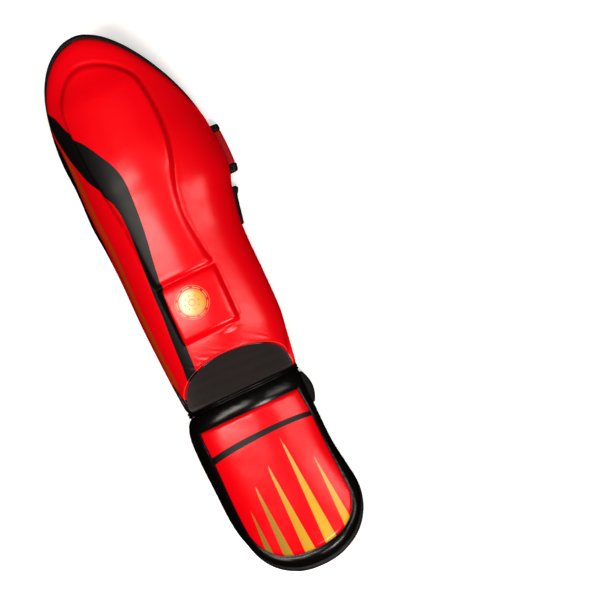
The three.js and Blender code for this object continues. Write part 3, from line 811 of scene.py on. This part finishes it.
def bolster(s, y):
    """
    The bolster's rise. Its half widths and height come from the tables; over the calf a superellipse
    of the share across and the share past END_START closes it. A soft step leads up its side, and
    two bells, one narrow and one wide, cut the crease across it.
    """
    share = y / SHIN.reach
    at = np.minimum(y, END_START) / SHIN.reach
    past = np.maximum(y - END_START, 0) / (END_STOP - END_START)
    x = arch(SHIN, s, y)[..., 0] + END_DRIFT * np.minimum(past, 1) ** 2
    half = np.where(x < 0, through(BOLSTER_LEFT, 1, at), through(BOLSTER, 1, at)) * BOLSTER_HALF
    inward = half * (1 - ((np.abs(x) / half) ** END_POWER + past ** END_POWER) ** (1 / END_POWER))
    inside = soft_step(inward / BOLSTER_SLOPE + 0.5)
    rise = BOLSTER_RISE * np.maximum(through(BOLSTER, 2, at), 0) * (1 - END_SINK * soft_step(past * 1.2))
    crease = CREASE_DEPTH * bell((y - CREASE_Y) / 1.8) + VALLEY_DEPTH * bell((y - CREASE_Y) / 5.0)
    sewn = soft_step((at - 0.18) * 60) * soft_step((x + 10) / 8) * 0.75 + 0.25
    broad = 1.1 + 0.9 * soft_step((share - 0.5) * 8)
    foot = FOOT_DEPTH * bell((inward + FOOT_OUT) / broad) * sewn * soft_step((share - 0.17) * 60)
    lip = LIP_RISE * bell((y - LIP_Y) / 2.8) * bell((x - LIP_X) / 8)
    return (rise - crease) * inside - foot + lip


print("rise over the calf:", bolster(np.array([0.0]), np.array([260.0])).round(1), "mm")


# %% The shin's face and back
ARC_PULL = 3.4
ARC_PULL_REACH = 9
RIDGE_IN = 8.0
RIDGE_RISE = 1.1


def puckers(s, y, d):
    """Three sine waves along the hem, which die out within a centimetre of it as a bell does."""
    along_edge = y + 55 * s
    short = np.sin(along_edge * 0.83) + 0.6 * np.sin(along_edge * 1.37 + 1.0)
    waves = short + 0.5 * np.sin(along_edge * 0.41 + 2.0)
    return 0.07 * waves * bell((d - 5.0) / 4.0)


def shin_face(s, y, d):
    """
    The face, from the distance d to the edge: a quarter round at the hem, drawn tighter along the
    ankle arc, with the bolster on top and a narrow ridge beside the right edge of the calf.
    """
    share = y / SHIN.reach
    from_arc = np.maximum(y - shin_bottom(s), 0)
    tight = 1 + ARC_PULL * bell(from_arc / ARC_PULL_REACH) * soft_step((0.84 - np.abs(s)) / 0.1)
    swell = quarter_round((d * tight - HEM_FLAT) / (FACE_ROUND - HEM_FLAT))
    beside_calf = soft_step((share - 0.5) * 25) * soft_step((0.76 - share) * 25)
    ridge = RIDGE_RISE * bell((d - RIDGE_IN) / 1.1) * (s > 0) * beside_calf
    return -HEM_DROP * (1 - swell) + (bolster(s, y) + puckers(s, y, d)) * swell + ridge


def back_offset(d):
    """The lining's side: the hem's thickness, and the foam's past a small quarter round."""
    return -(HEM_DROP + HEM + (PAD - HEM_DROP - HEM) * quarter_round((d - HEM_FLAT) / BACK_ROUND))


# %% Rows and columns of the shin pad
ROW_CROWDING = 1.4
SHIN_EDGE_SHARE = 0.86


def shin_rows(low_count, middle_count, high_count, low=63.0, high=216.0):
    """Rows as functions of s: bent to the arc at the ankle, straight, bent to the dome at the knee."""
    rise = (np.arange(low_count) / low_count) ** ROW_CROWDING
    rows = [lambda s, t=t: shin_bottom(s) * (1 - t) + low * t for t in rise]
    rows += [lambda s, y=y: np.full_like(s, y) for y in np.linspace(low, high, middle_count)]
    fall = 1 - (1 - np.arange(1, high_count + 1) / high_count) ** ROW_CROWDING
    rows += [lambda s, t=t: high * (1 - t) + shin_top(s) * t for t in fall]
    return rows


def shin_columns(count):
    """Crowded columns over the arc, and eight even ones in each flank beyond it."""
    inner = column_shares(count, SHIN_EDGE_SHARE)
    outer = np.linspace(SHIN_EDGE_SHARE, 1, 9)[1:]
    return np.concatenate([-outer[::-1], inner, outer])


columns = shin_columns(134)
shin_y = np.stack([row(columns) for row in shin_rows(52, 118, 84)])
shin_s = np.broadcast_to(columns, shin_y.shape).copy()
shin_d = distance_to_rim(SHIN, shin_s, shin_y, [shin_top, shin_bottom])
print("rows and columns:", shin_y.shape)

# %% [markdown]
# The black wave is printed on the left of the bolster: it starts as a point beside the calf, swings
# in to the waist and runs down to the ankle. Its two edges are tables of s along the shin, and the
# mark is the distance to the nearer edge, above 0 inside. A gold ray runs down the left flank, its
# gold darkened to red-brown as painted shade, and along both flanks the hem shows black, in a width
# that changes.

# %% Prints on the shin pad
# Each row: share of the reach, the wave's left edge and its right edge as s
WAVE = np.array([
    [0.0, -0.64, -0.43], [0.042, -0.57, -0.39], [0.094, -0.503, -0.338], [0.133, -0.455, -0.305],
    [0.21, -0.4, -0.26], [0.262, -0.369, -0.245], [0.33, -0.353, -0.216], [0.391, -0.335, -0.187],
    [0.447, -0.31, -0.153], [0.487, -0.295, -0.132], [0.524, -0.292, -0.114], [0.553, -0.296, -0.103],
    [0.585, -0.325, -0.09], [0.612, -0.4, -0.085], [0.64, -0.495, -0.1], [0.667, -0.575, -0.135],
    [0.691, -0.615, -0.185], [0.72, -0.655, -0.245], [0.754, -0.69, -0.33], [0.79, -0.718, -0.465],
    [0.819, -0.724, -0.525], [0.847, -0.715, -0.567], [0.872, -0.69, -0.64], [0.885, -0.68, -0.675],
    [0.9, -0.67, -0.7], [1.0, -0.6, -0.8],
])
# Each row: share of the reach, the ray's middle as s, its half width in millimetres
RAY = np.array([
    [0.05, -0.77, 6.5], [0.14, -0.745, 6.3], [0.235, -0.7, 6.0], [0.31, -0.695, 6.0], [0.4, -0.685, 6.0],
    [0.53, -0.705, 6.0], [0.61, -0.735, 6.0], [0.67, -0.75, 6.3], [0.72, -0.73, 5.5], [0.77, -0.725, 2.5],
    [0.8, -0.73, -0.5],
])
RAY_FOOT = 0.095
# Each row: share of the reach, how wide the black hem shows on the left flank and on the right
HEM_BAND = np.array([
    [0.0, 19.0, 6.0], [0.05, 17.5, 4.5], [0.085, 14.0, 1.0], [0.12, 4.0, -2.0], [0.16, 0.0, -2.0],
    [0.35, 0.0, -2.0], [0.4, 5.0, -2.0], [0.45, 13.5, -2.0], [0.5, 17.6, -2.0], [0.57, 18.2, -2.0],
    [0.63, 15.4, -2.0], [0.68, 17.3, -2.0], [0.73, 19.0, -2.0], [0.77, 17.0, -2.0], [0.82, 10.0, -1.0],
    [0.87, 5.5, 0.0], [0.95, 3.5, 0.0], [1.0, 2.0, 1.0],
])


def band_mark(s, y, run):
    """The distance inside a printed band, square to the edge it is nearest to."""
    at = y / SHIN.reach
    step = 0.004
    inside = []
    for column, way in [(1, 1), (2, -1)]:
        rise = through(WAVE, column, at + step) - through(WAVE, column, at - step)
        slope = rise / (2 * step * SHIN.reach) * run
        inside.append(way * (s - through(WAVE, column, at)) * run / np.hypot(1, slope))
    return np.minimum(*inside)


shin_run = run_per_share(SHIN, shin_s, shin_y)
shin_at = shin_y / SHIN.reach
wave_mark = band_mark(shin_s, shin_y, shin_run)
ray_mark = through(RAY, 2, shin_at) - np.abs(shin_s - through(RAY, 1, shin_at)) * shin_run
ray_mark = np.where(shin_at < RAY_FOOT, ray_mark - (RAY_FOOT - shin_at) * 200, ray_mark)
hem_width = np.where(shin_s < 0, through(HEM_BAND, 1, shin_at), through(HEM_BAND, 2, shin_at))
hem_mark = hem_width - distance_to_rim(SHIN, shin_s, shin_y, [shin_top])
for mark, values in [("wave", wave_mark), ("ray", ray_mark), ("hem", hem_mark)]:
    print(mark, "covers", round(100 * float(np.mean(values > 0))), "percent of the vertices")

# %% The shin pad's mesh
shin_pad = make_pad(
    "shin_pad_leather", SHIN, shin_s, shin_y, shin_face(shin_s, shin_y, shin_d), back_offset(shin_d),
    [red_shin, lining], "shin_pad", {"wave_mark": wave_mark, "ray_mark": ray_mark, "hem_mark": hem_mark})

# %% [markdown]
# ## The instep pad and its facing
#
# The pad is black leather. A red facing is sewn on its flat, and the pad rolls up round it in a
# glossy border. The seam round the facing pulls the pad into a shallow groove, which the facing's
# own edge follows. The facing carries a thin black band and five gold spikes that point to the knee.

# %% The facing's outline
# Each row: y, the facing's left edge and its right edge as s
FACING_SIDES = np.array([
    [-171.0, -0.66, 0.69], [-130.0, -0.65, 0.7], [-112.0, -0.642, 0.714], [-84.0, -0.62, 0.745],
    [-47.0, -0.598, 0.75], [-19.0, -0.616, 0.72], [0.0, -0.62, 0.71],
])
FACING_TOP = -18.5
FACING_TOE_DEPTH = 52.0
FACING_TOE_SPREAD = 0.97
INSTEP_ROUND = 9.0
GROOVE_DEPTH = 0.6
ROLL_RISE = 0.4


def facing_share(s, y):
    """Where a point lies between the facing's left edge (-1) and its right edge (1)."""
    left = through(FACING_SIDES, 1, y)
    right = through(FACING_SIDES, 2, y)
    return (2 * s - left - right) / (right - left), (right - left) / 2


def facing_toe(t):
    """The facing's lower edge: a dome that follows the toe's."""
    dome = dome_share(np.clip(FACING_TOE_SPREAD * t, -1, 1), DOME_POWER)
    return INSTEP_SHOULDER - FACING_TOE_DEPTH * dome


def facing_inside(s, y):
    """The distance inside the facing's outline, below 0 outside it."""
    t, half = facing_share(s, y)
    run = run_per_share(INSTEP, s, y)
    side = (1 - np.abs(t)) * half * run
    slope = (facing_toe(t + 0.01) - facing_toe(t - 0.01)) / (0.02 * half * run)
    toe = (y - facing_toe(t)) / np.hypot(1, slope)
    return np.minimum(np.minimum(side, FACING_TOP - y), toe)


def instep_face(s, y):
    """The pad's face: a quarter round at the hem, a groove at the facing's seam, a rolled border."""
    d = distance_to_rim(INSTEP, s, y, [instep_top, instep_bottom])
    swell = quarter_round((d - HEM_FLAT) / (INSTEP_ROUND - HEM_FLAT))
    inside = facing_inside(s, y)
    groove = GROOVE_DEPTH * bell(inside / 1.3)
    roll = ROLL_RISE * bell((inside + 5.5) / 3.5)
    waves = puckers(s, y, d) + 0.5 * puckers(s * 0.9, y * 1.1, inside + 3.0)
    return -HEM_DROP * (1 - swell) + (roll - groove + waves) * swell


print("the facing's toe at", float(facing_toe(0.0)), "mm")

# %% The instep pad's mesh
columns = column_shares(118)
straight = -np.linspace(0.8, 99.2, 82)
toe_share = 1 - (1 - np.arange(1, 57) / 56) ** ROW_CROWDING
instep_rows = [np.full_like(columns, y) for y in straight]
instep_rows += [straight[-1] * (1 - t) + instep_bottom(columns) * t for t in toe_share]
instep_y = np.stack(instep_rows[::-1])
instep_s = np.broadcast_to(columns, instep_y.shape).copy()
instep_d = distance_to_rim(INSTEP, instep_s, instep_y, [instep_top, instep_bottom])
instep_pad = make_pad(
    "instep_pad_leather", INSTEP, instep_s, instep_y, instep_face(instep_s, instep_y), back_offset(instep_d),
    [black_leather, lining], "instep_pad")

# %% The facing's prints
# The band's two edges as parabolas of y over s, each through three places
BAND_TOP = np.polyfit([-0.596, 0.091, 0.726], [-44.6, -39.2, -42.3], 2)
BAND_BOTTOM = np.polyfit([-0.589, 0.091, 0.754], [-51.2, -44.8, -47.1], 2)
# Each spike: its tip's x and y, its foot's left and right x, and its foot's y
SPIKES = np.array([
    [-38.4, -98.5, -42.8, -36.4, -149.0], [-24.3, -72.0, -27.9, -19.2, -155.0],
    [-5.0, -58.5, -7.8, 2.1, -158.0], [16.6, -45.0, 13.4, 24.5, -157.0], [36.0, -77.5, 35.2, 42.6, -146.6],
])
# The facing's thickness at its edge and within it, its rounding, and its underside, over the pad's face
FACING_EDGE = 0.25
FACING_RISE = 1.3
FACING_ROUND = 3.5
FACING_UNDER = 0.12


def spike_mark(x, y):
    """The greatest of five distances, each inside a long triangle from its tip to its foot."""
    tip_x, tip_y, left, right, foot_y = SPIKES.T[:, :, None, None]
    t = (tip_y - y) / (tip_y - foot_y)
    middle = tip_x + ((left + right) / 2 - tip_x) * t
    half = (right - left) / 2 * np.minimum(t, 1.3)
    return np.max(half - np.abs(x - middle), axis=0)


t = column_shares(100)
v = np.linspace(0, 1, 96)[:, None]
facing_y = (1 - v) * facing_toe(t) + v * FACING_TOP
left = through(FACING_SIDES, 1, facing_y)
right = through(FACING_SIDES, 2, facing_y)
facing_s = left + (right - left) * (t + 1) / 2
inside = np.maximum(facing_inside(facing_s, facing_y), 0)
base = instep_face(facing_s, facing_y)
face = base + FACING_EDGE + FACING_RISE * quarter_round(inside / FACING_ROUND)
band = np.minimum(np.polyval(BAND_TOP, facing_s) - facing_y, facing_y - np.polyval(BAND_BOTTOM, facing_s))
spikes = spike_mark(arch(INSTEP, facing_s, facing_y)[..., 0], facing_y)
facing = make_pad(
    "instep_facing_leather", INSTEP, facing_s, facing_y, face, base + FACING_UNDER,
    [red_facing], "instep_facing", {"band_mark": band, "spike_mark": spikes})
front = lifted(INSTEP, facing_s, facing_y, face)
cells = np.cross(front[1:, :-1] - front[:-1, :-1], front[:-1, 1:] - front[:-1, :-1])
print("facing area", round(np.linalg.norm(cells, axis=-1).sum() / 100), "square centimetres")

# %% [markdown]
# ## Bindings
#
# The raw hem is closed with a folded tape. Its section is a long U that grips the hem from outside,
# and it is carried along the rim: at each point the section stands square to the rim's tangent, one
# axis leading away from the pad and one up through its hem.

# %% A folded tape along a rim
def frame_along(form, s, y):
    """At each rim point: the hem's middle, the direction away from the pad, the direction up."""
    skin = arch(form, s, y)
    up = arch_normal(form, s, y)
    tangent = np.gradient(skin, axis=0)
    away = unit(np.cross(tangent, up))
    return skin - up * HEM_MIDDLE, away, up


def sweep(middle, away, up, section):
    """Rings of points: the section's two coordinates along the two directions at each place."""
    return middle[:, None, :] + away[:, None, :] * section[..., :1] + up[:, None, :] * section[..., 1:]


def tube_faces(rings, sides):
    """The quads round a tube."""
    return grid_faces(rings, sides, ring=True)[:, ::-1]


def tube_caps(rings, sides):
    """One face for each end of a tube."""
    return [list(range(sides)), list(range(rings * sides - 1, (rings - 1) * sides - 1, -1))]


TIP = 0.001


def drawn_in(ring, keep):
    """A ring moved towards its middle until the given share of its size is left."""
    middle = ring.mean(axis=1, keepdims=True)
    return middle + (ring - middle) * keep


def closed_tube(name, rings, finish, replaced):
    """A tube whose ends are closed by drawing the last ring in to its middle."""
    rings = np.concatenate([drawn_in(rings[:1], TIP), rings, drawn_in(rings[-1:], TIP)])
    steps = np.linalg.norm(np.diff(rings.mean(axis=1), axis=0), axis=-1)
    length = np.concatenate([[0], np.cumsum(steps)])
    around = np.linspace(0, 20, rings.shape[1])
    flat = np.stack(np.broadcast_arrays(around[None, :], length[:, None]), axis=-1)
    return make_piece(name, rings, tube_faces(*rings.shape[:2]), [finish], replaced, flat,
                      caps=tube_caps(*rings.shape[:2]))


def tape_section():
    """A long U in millimetres: out over the hem's edge with a round nose, and back inside it."""
    turn = np.linspace(np.pi / 2, -np.pi / 2, 13)
    nose = np.stack([1.55 + 2.2 * np.cos(turn), 2.95 * np.sin(turn)], axis=-1)
    outer = [[-0.75, 2.72], [-0.5, 3.0], [0.3, 3.05]]
    under = [[0.3, -3.05], [-1.2, -3.0], [-1.7, -2.72]]
    inner = [[-1.7, -2.3], [0.0, -2.2], [0.4, -1.4], [0.4, 1.4], [0.1, 2.2], [-0.75, 2.3]]
    return np.concatenate([outer, nose, under, inner])


def around_rim(side, over, end):
    """The whole rim in s and y: along the side where over starts, over the end, and back."""
    start = np.full_like(side, over[0])
    return [(start, side), (over, end(over)), (-start, side[::-1])]


def make_binding(name, form, side, over, end, node):
    """The tape's section carried along the whole rim of a pad."""
    parts = around_rim(side, over, end)
    rim_s = np.concatenate([s for s, y in parts])
    rim_y = np.concatenate([y for s, y in parts])
    middle, away, up = frame_along(form, rim_s, rim_y)
    return closed_tube(name, sweep(middle, away, up, tape_section()[None]), binding_tape, [node])


def from_rim_to_rim(count):
    """Places from -1 to 1, closer together at both ends."""
    return np.sin(np.linspace(-1, 1, count) * np.pi / 2)


shin_binding = make_binding(
    "shin_binding_tape", SHIN, np.linspace(1.6, 244.5, 200), -from_rim_to_rim(181), shin_top, "shin_binding")
instep_binding = make_binding(
    "instep_binding_tape", INSTEP, np.linspace(-0.9, -108.7, 90), from_rim_to_rim(161), instep_bottom,
    "instep_binding")

# %% [markdown]
# ## The ankle cloth and the welt
#
# Over the bend of the ankle the guard must fold, so there the padding gives way to stretch cloth. It
# fills the arc level with the shell's hem and bellies out a little. A double roll of leather, the
# welt, covers the seam between shin and instep from side to side.

# %% The ankle cloth
CLOTH_HALF = 1.6
CLOTH_BELLY = 1.1
t = column_shares(90)
ankle_s = t * np.where(t < 0, 0.852, 0.872)
ankle_top = shin_bottom(ankle_s) - CLEARANCE
v = np.linspace(0, 1, 34)[:, None]
ankle_y = -0.5 * (1 - v) + np.maximum(ankle_top, 0.2) * v
ankle_s = np.broadcast_to(ankle_s, ankle_y.shape).copy()
belly = CLOTH_BELLY * np.sqrt(np.clip(4 * v * (1 - v), 0, 1)) * np.sqrt(1 - np.clip(np.abs(t), 0, 1) ** 4)
folds = 0.35 * np.sin(ankle_y * 0.62 + 1.5 * np.sin(ankle_s * 3)) * soft_step(4 * v * (1 - v)) * (1 - t ** 4)
low_end = soft_step((ankle_y - 1.0) / 5)
ankle_face = -HEM_MIDDLE + 1.9 + (2.4 + belly + folds) * low_end
ankle_cloth = make_pad("ankle_cloth", SHIN, ankle_s, ankle_y, ankle_face,
                       np.full_like(ankle_s, -HEM_MIDDLE - CLOTH_HALF), [ankle_knit], "ankle_panel")


# %% The welt
WELT_REACH = 0.968
WELT_WIDEN = 0.55
WELT_LIFT = 1.7


def welt_section(widen):
    """Two round lobes side by side on a flat foot; the upper half widens with the share given."""
    turn = np.linspace(np.pi, 0, 9)
    lobe = np.stack([np.cos(turn), np.sin(turn)], axis=-1)
    near = lobe * [1.12, 1.5] + [-1.1, 0.35]
    far = lobe * [1.12, 1.5] + [1.1, 0.35]
    foot = [[2.2, -1.0], [1.9, -1.6], [-1.9, -1.6], [-2.2, -1.0]]
    section = np.concatenate([near[:-1], [[0.0, 0.62]], far[1:], foot])
    wider = section[:, 0] * (1 + widen[:, None] * WELT_WIDEN)
    across_part = np.where(section[:, 0] > 0, wider, section[:, 0])
    return np.stack([across_part, np.broadcast_to(section[:, 1], across_part.shape)], axis=-1)


welt_s = WELT_REACH * from_rim_to_rim(220)
up = arch_normal(SHIN, welt_s, np.full_like(welt_s, 1.0))
along_y = np.broadcast_to([0.0, 1.0, 0.0], up.shape)
sections = welt_section(soft_step((np.abs(welt_s) - 0.78) / 0.12))
middle = arch(SHIN, welt_s, 0.0) - up * (HEM_DROP - WELT_LIFT)
welt = closed_tube("ankle_welt_roll", sweep(middle, along_y, up, sections), black_leather, ["ankle_welt"])

# %% [markdown]
# ## Straps
#
# Each strap is sewn inside both walls of the shell. It comes down the left wall, crosses the floor,
# goes out past the right rim, turns back under it and up the right wall inside. The path is worked
# out at several places across the strap's width, because the walls lean, and a section with round
# edges is carried along it.

# %% The path of a strap
TAB_SHARE = 0.42
WALL_GAP = 0.8


def inner_wall(form, side, y, height):
    """Where the wall's inside stands at a height, by halving the range of s twenty times."""
    low, high = 0.0, 1.0
    for _ in range(20):
        s = (low + high) / 2
        if under_pad(form, side * s, y)[2] > height:
            low = s
        else:
            high = s
    return under_pad(form, side * low, y)[0]


def under_pad(form, s, y):
    """The point of the lining under a place of the skin."""
    return lifted(form, np.array([s]), np.array([y]), np.array([-float(PAD)]))[0]


def tape_underside(form, y):
    """The lowest point of the binding's section at a place of the right rim."""
    middle, away, up = frame_along(form, np.full(3, 1.0), np.array([y - 1.0, y, y + 1.0]))
    return sweep(middle, form.way * away, up, tape_section()[None])[1, :, 2].min()


def arc(centre_x, centre_z, radius, start, end, count=12):
    """Points on a circle, between two angles."""
    turn = np.linspace(start, end, count)
    return np.stack([centre_x + radius * np.cos(turn), centre_z + radius * np.sin(turn)], axis=-1)


def strap_path(form, y, thickness, line_height, past_rim):
    """The strap's middle line in a plane across the guard, as x and z: straight runs and arcs."""
    rim = arch(form, 1.0, y)
    tab_top = rim[2] + (under_pad(form, 0.0, y)[2] - rim[2]) * TAB_SHARE
    seat = thickness / 2 + WALL_GAP
    right_wall = inner_wall(form, 1, y, tab_top) - seat
    left_wall = inner_wall(form, -1, y, tab_top) + seat
    upper = tape_underside(form, y) - CLEARANCE - thickness / 2
    turn = (upper - line_height) / 2
    outer = rim[0] + past_rim
    pi = np.pi
    return np.concatenate([
        np.linspace((left_wall, tab_top), (left_wall, line_height + turn), 14),
        arc(left_wall + turn, line_height + turn, turn, pi, 1.5 * pi)[1:],
        np.linspace((left_wall + turn, line_height), (outer - turn, line_height), 40)[1:],
        arc(outer - turn, line_height + turn, turn, -pi / 2, pi / 2, 18)[1:],
        np.linspace((outer - turn, upper), (right_wall + turn, upper), 16)[1:],
        arc(right_wall + turn, upper + turn, turn, -pi / 2, -pi)[1:],
        np.linspace((right_wall, upper + turn), (right_wall, tab_top), 10)[1:],
    ])


path = strap_path(SHIN, 219.0, 3.2, 1.6, 2.2)
print("a strap's path has", len(path), "points and reaches", round(path[:, 0].max(), 1), "mm across")


# %% A strap from its path and its section
SPANS = 14


def strap_section(width, thickness, edge_count=5):
    """A flat section with round edges: y and thickness coordinates, walked once round."""
    half_w = width / 2
    half_t = thickness / 2
    flat_part = np.linspace(-half_w + half_t, half_w - half_t, 25)
    turn = np.linspace(np.pi / 2, -np.pi / 2, edge_count + 2)[1:-1]
    top = np.stack([flat_part, np.full(25, half_t)], axis=-1)
    right = np.stack([half_w - half_t + half_t * np.cos(turn), half_t * np.sin(turn)], axis=-1)
    return np.concatenate([top, right, -top, -right])


def make_strap(name, form, y, width, thickness, line_height, past_rim, finish, node, path_thickness=None):
    """
    A strap: its section carried along its path. The path is worked out at a few places across the
    width, and each point of the section follows the blend of its two neighbours. past_rim gives how
    far the end stands past the rim, from -1 at the toe side to 1 at the knee side.
    """
    places = y + np.linspace(-0.5, 0.5, SPANS + 1) * width
    paths = np.stack([strap_path(form, place, path_thickness or thickness, line_height, past_rim(u))
                      for place, u in zip(places, np.linspace(-1, 1, SPANS + 1))])
    section = strap_section(width, thickness)
    share = (section[:, 0] / width + 0.5) * SPANS
    low = np.clip(np.floor(share).astype(int), 0, SPANS - 1)
    part = (share - low)[:, None, None]
    line = paths[low] * (1 - part) + paths[low + 1] * part
    tangent = unit(np.gradient(line, axis=1))
    normal = np.stack([-tangent[..., 1], tangent[..., 0]], axis=-1)
    flat_points = line + normal * section[:, 1][:, None, None]
    across_y = np.broadcast_to((y + section[:, 0])[:, None], flat_points.shape[:2])
    points = np.stack([flat_points[..., 0], across_y, flat_points[..., 1]], axis=-1)
    rings = points.transpose(1, 0, 2)
    keep = [TIP, 1, TIP]
    rings = np.concatenate([drawn_in(rings[:1], keep), rings, drawn_in(rings[-1:], keep)])
    steps = np.linalg.norm(np.diff(paths[SPANS // 2], axis=0), axis=-1)
    length = np.concatenate([[0, 0], np.cumsum(steps), [steps.sum()]])
    flat = np.stack(np.broadcast_arrays(length[:, None], section[None, :, 0]), axis=-1)
    piece = make_piece(name, rings, tube_faces(*rings.shape[:2]), [finish], [node], flat,
                       caps=tube_caps(*rings.shape[:2]))
    print("   cut", width, "by", round(steps.sum()), "mm")
    return piece, steps.sum()


# %% The red web and its edge tapes
WEB = 34.4
BETWEEN_TAPES = 34
WEB_Y = 219.0
TAPE = 6.5
LOWER_TAPE = 7.9
LOWER_TAPE_Y = 218.3
WEB_THICK = 2.2
TAPE_THICK = 3.2
TAPE_LINE = 1.6
TAPE_FROM_MIDDLE = (BETWEEN_TAPES + TAPE) / 2 + CLEARANCE


def level(distance):
    """The same distance past the rim over the whole width."""
    return lambda u: distance


web, web_length = make_strap(
    "calf_strap_upper_web", SHIN, WEB_Y, WEB, WEB_THICK, TAPE_LINE, level(2.2),
    red_web, "calf_strap_upper", path_thickness=TAPE_THICK)
edge_top, _ = make_strap(
    "calf_strap_upper_tape_top", SHIN, WEB_Y + TAPE_FROM_MIDDLE, TAPE, TAPE_THICK, TAPE_LINE, level(2.2),
    binding_tape, "calf_strap_upper_edge_top")
edge_bottom, _ = make_strap(
    "calf_strap_upper_tape_bottom", SHIN, LOWER_TAPE_Y - TAPE_FROM_MIDDLE, LOWER_TAPE, TAPE_THICK, TAPE_LINE,
    level(2.9), binding_tape, "calf_strap_upper_edge_bottom")

# %% The elastics of the calf and the foot
CALF_ELASTIC = 36
CALF_ELASTIC_Y = 163.5
FOOT_ELASTIC = 32
FOOT_ELASTIC_Y = -21.0
ELASTIC_LINE = 1.1


def rounded_bulge(u):
    """The foot strap's end: it swells out past the rim in its middle, and slips under at both sides."""
    return -3.2 + 5.2 * (1 - abs(u) ** 1.9)


def bound_end(u):
    """The lower strap's end: a sliver past the rim, with a thicker bound edge on the knee side."""
    return -1.6 + 2.6 * math.exp(-((u - 0.8) / 0.16) ** 2) - 1.5 * max(-u - 0.5, 0.0)


calf_band, calf_length = make_strap(
    "calf_strap_lower_band", SHIN, CALF_ELASTIC_Y, CALF_ELASTIC, WEB_THICK, ELASTIC_LINE, bound_end,
    elastic, "calf_strap_lower")
foot_band, foot_length = make_strap(
    "foot_strap_band", INSTEP, FOOT_ELASTIC_Y, FOOT_ELASTIC, WEB_THICK, ELASTIC_LINE, rounded_bulge,
    elastic, "foot_strap")

# %% [markdown]
# ## Stitches
#
# A sewn line is a row of short threads that dip into the leather at both ends. One stitch is a small
# tube bent into a bow; the row places that tube at even steps along a line on the skin, all rows
# together in one mesh for each thread colour.

# %% Rows of stitches
STITCH_BOW = 0.42
STITCH_SUNK = 0.22
TAPE_TOP = 2.95
STITCH_OUT = 0.9


def stitch_row(points, up, stitch=2.3, pitch=3.3, radius=0.3, sides=6, rings=6):
    """Bowed tubes along a line: each is a half wave that starts and ends below the skin."""
    steps = np.linalg.norm(np.diff(points, axis=0), axis=-1)
    length = np.concatenate([[0], np.cumsum(steps)])
    starts = np.arange(pitch, length[-1] - pitch, pitch)
    place = np.stack([np.interp(starts, length, points[:, k]) for k in range(3)], axis=-1)
    ahead = np.stack([np.interp(starts + 1.0, length, points[:, k]) for k in range(3)], axis=-1)
    normal = unit(np.stack([np.interp(starts, length, up[:, k]) for k in range(3)], axis=-1))
    tangent = unit(ahead - place)
    side = unit(np.cross(tangent, normal))
    u = np.linspace(-1, 1, rings)
    bow = STITCH_BOW * (1 - u ** 2) - STITCH_SUNK
    thick = radius * np.sqrt(1 - 0.75 * u ** 4)
    turn = np.linspace(0, 2 * np.pi, sides, endpoint=False)
    local_along = (u * stitch / 2)[:, None] + 0 * turn[None, :]
    local_side = thick[:, None] * np.cos(turn)[None, :]
    local_up = bow[:, None] + thick[:, None] * np.sin(turn)[None, :]
    return (place[:, None, None, :] + tangent[:, None, None, :] * local_along[None, :, :, None]
            + side[:, None, None, :] * local_side[None, :, :, None]
            + normal[:, None, None, :] * local_up[None, :, :, None])


def stitch_mesh(name, rows, finish):
    """All rows as one mesh; each stitch keeps its own few faces, with one face at each end."""
    tubes = np.concatenate(rows)
    count, rings, sides = tubes.shape[:3]
    starts = np.arange(count) * rings * sides
    faces = (grid_faces(rings, sides, ring=True)[None] + starts[:, None, None]).reshape(-1, 4)
    low_end = np.arange(sides)[None, ::-1] + starts[:, None]
    high_end = np.arange(sides)[None] + starts[:, None] + (rings - 1) * sides
    print(count, "stitches:")
    return make_piece(name, tubes, faces, [finish], [], caps=np.concatenate([low_end, high_end]).tolist())


def on_shin(s, y):
    """Points on the shin pad's face, and the directions up from them."""
    d = distance_to_rim(SHIN, s, y, [shin_top, shin_bottom])
    return lifted(SHIN, s, y, shin_face(s, y, d)), arch_normal(SHIN, s, y)


def on_tape(form, s, y):
    """Points on the binding's upper side, just outside the hem, and the directions up from them."""
    middle, away, up = frame_along(form, s, y)
    return middle + up * TAPE_TOP + away * STITCH_OUT, up


# %% The stitches along the arc and on the bindings
ARC_STITCH_IN = 1.3
arc_s = np.linspace(-0.84, 0.84, 500)
arc_step = 0.002
rise = shin_bottom(arc_s + arc_step) - shin_bottom(arc_s - arc_step)
slope = rise / (2 * arc_step * run_per_share(SHIN, arc_s, shin_bottom(arc_s)))
arc_y = shin_bottom(arc_s) + ARC_STITCH_IN * np.hypot(1, slope)
rose_stitches = stitch_mesh("arc_stitches", [stitch_row(*on_shin(arc_s, arc_y), 1.9, 2.5, 0.24)], rose_thread)

shin_rim = around_rim(np.linspace(6, 244.0, 300), -from_rim_to_rim(300), shin_top)
instep_rim = around_rim(np.linspace(-4.0, -108.7, 160), from_rim_to_rim(260), instep_bottom)
rows = [stitch_row(*on_tape(SHIN, s, y)) for s, y in shin_rim]
rows += [stitch_row(*on_tape(INSTEP, s, y)) for s, y in instep_rim]
tape_stitches = stitch_mesh("binding_stitches", rows, black_thread)
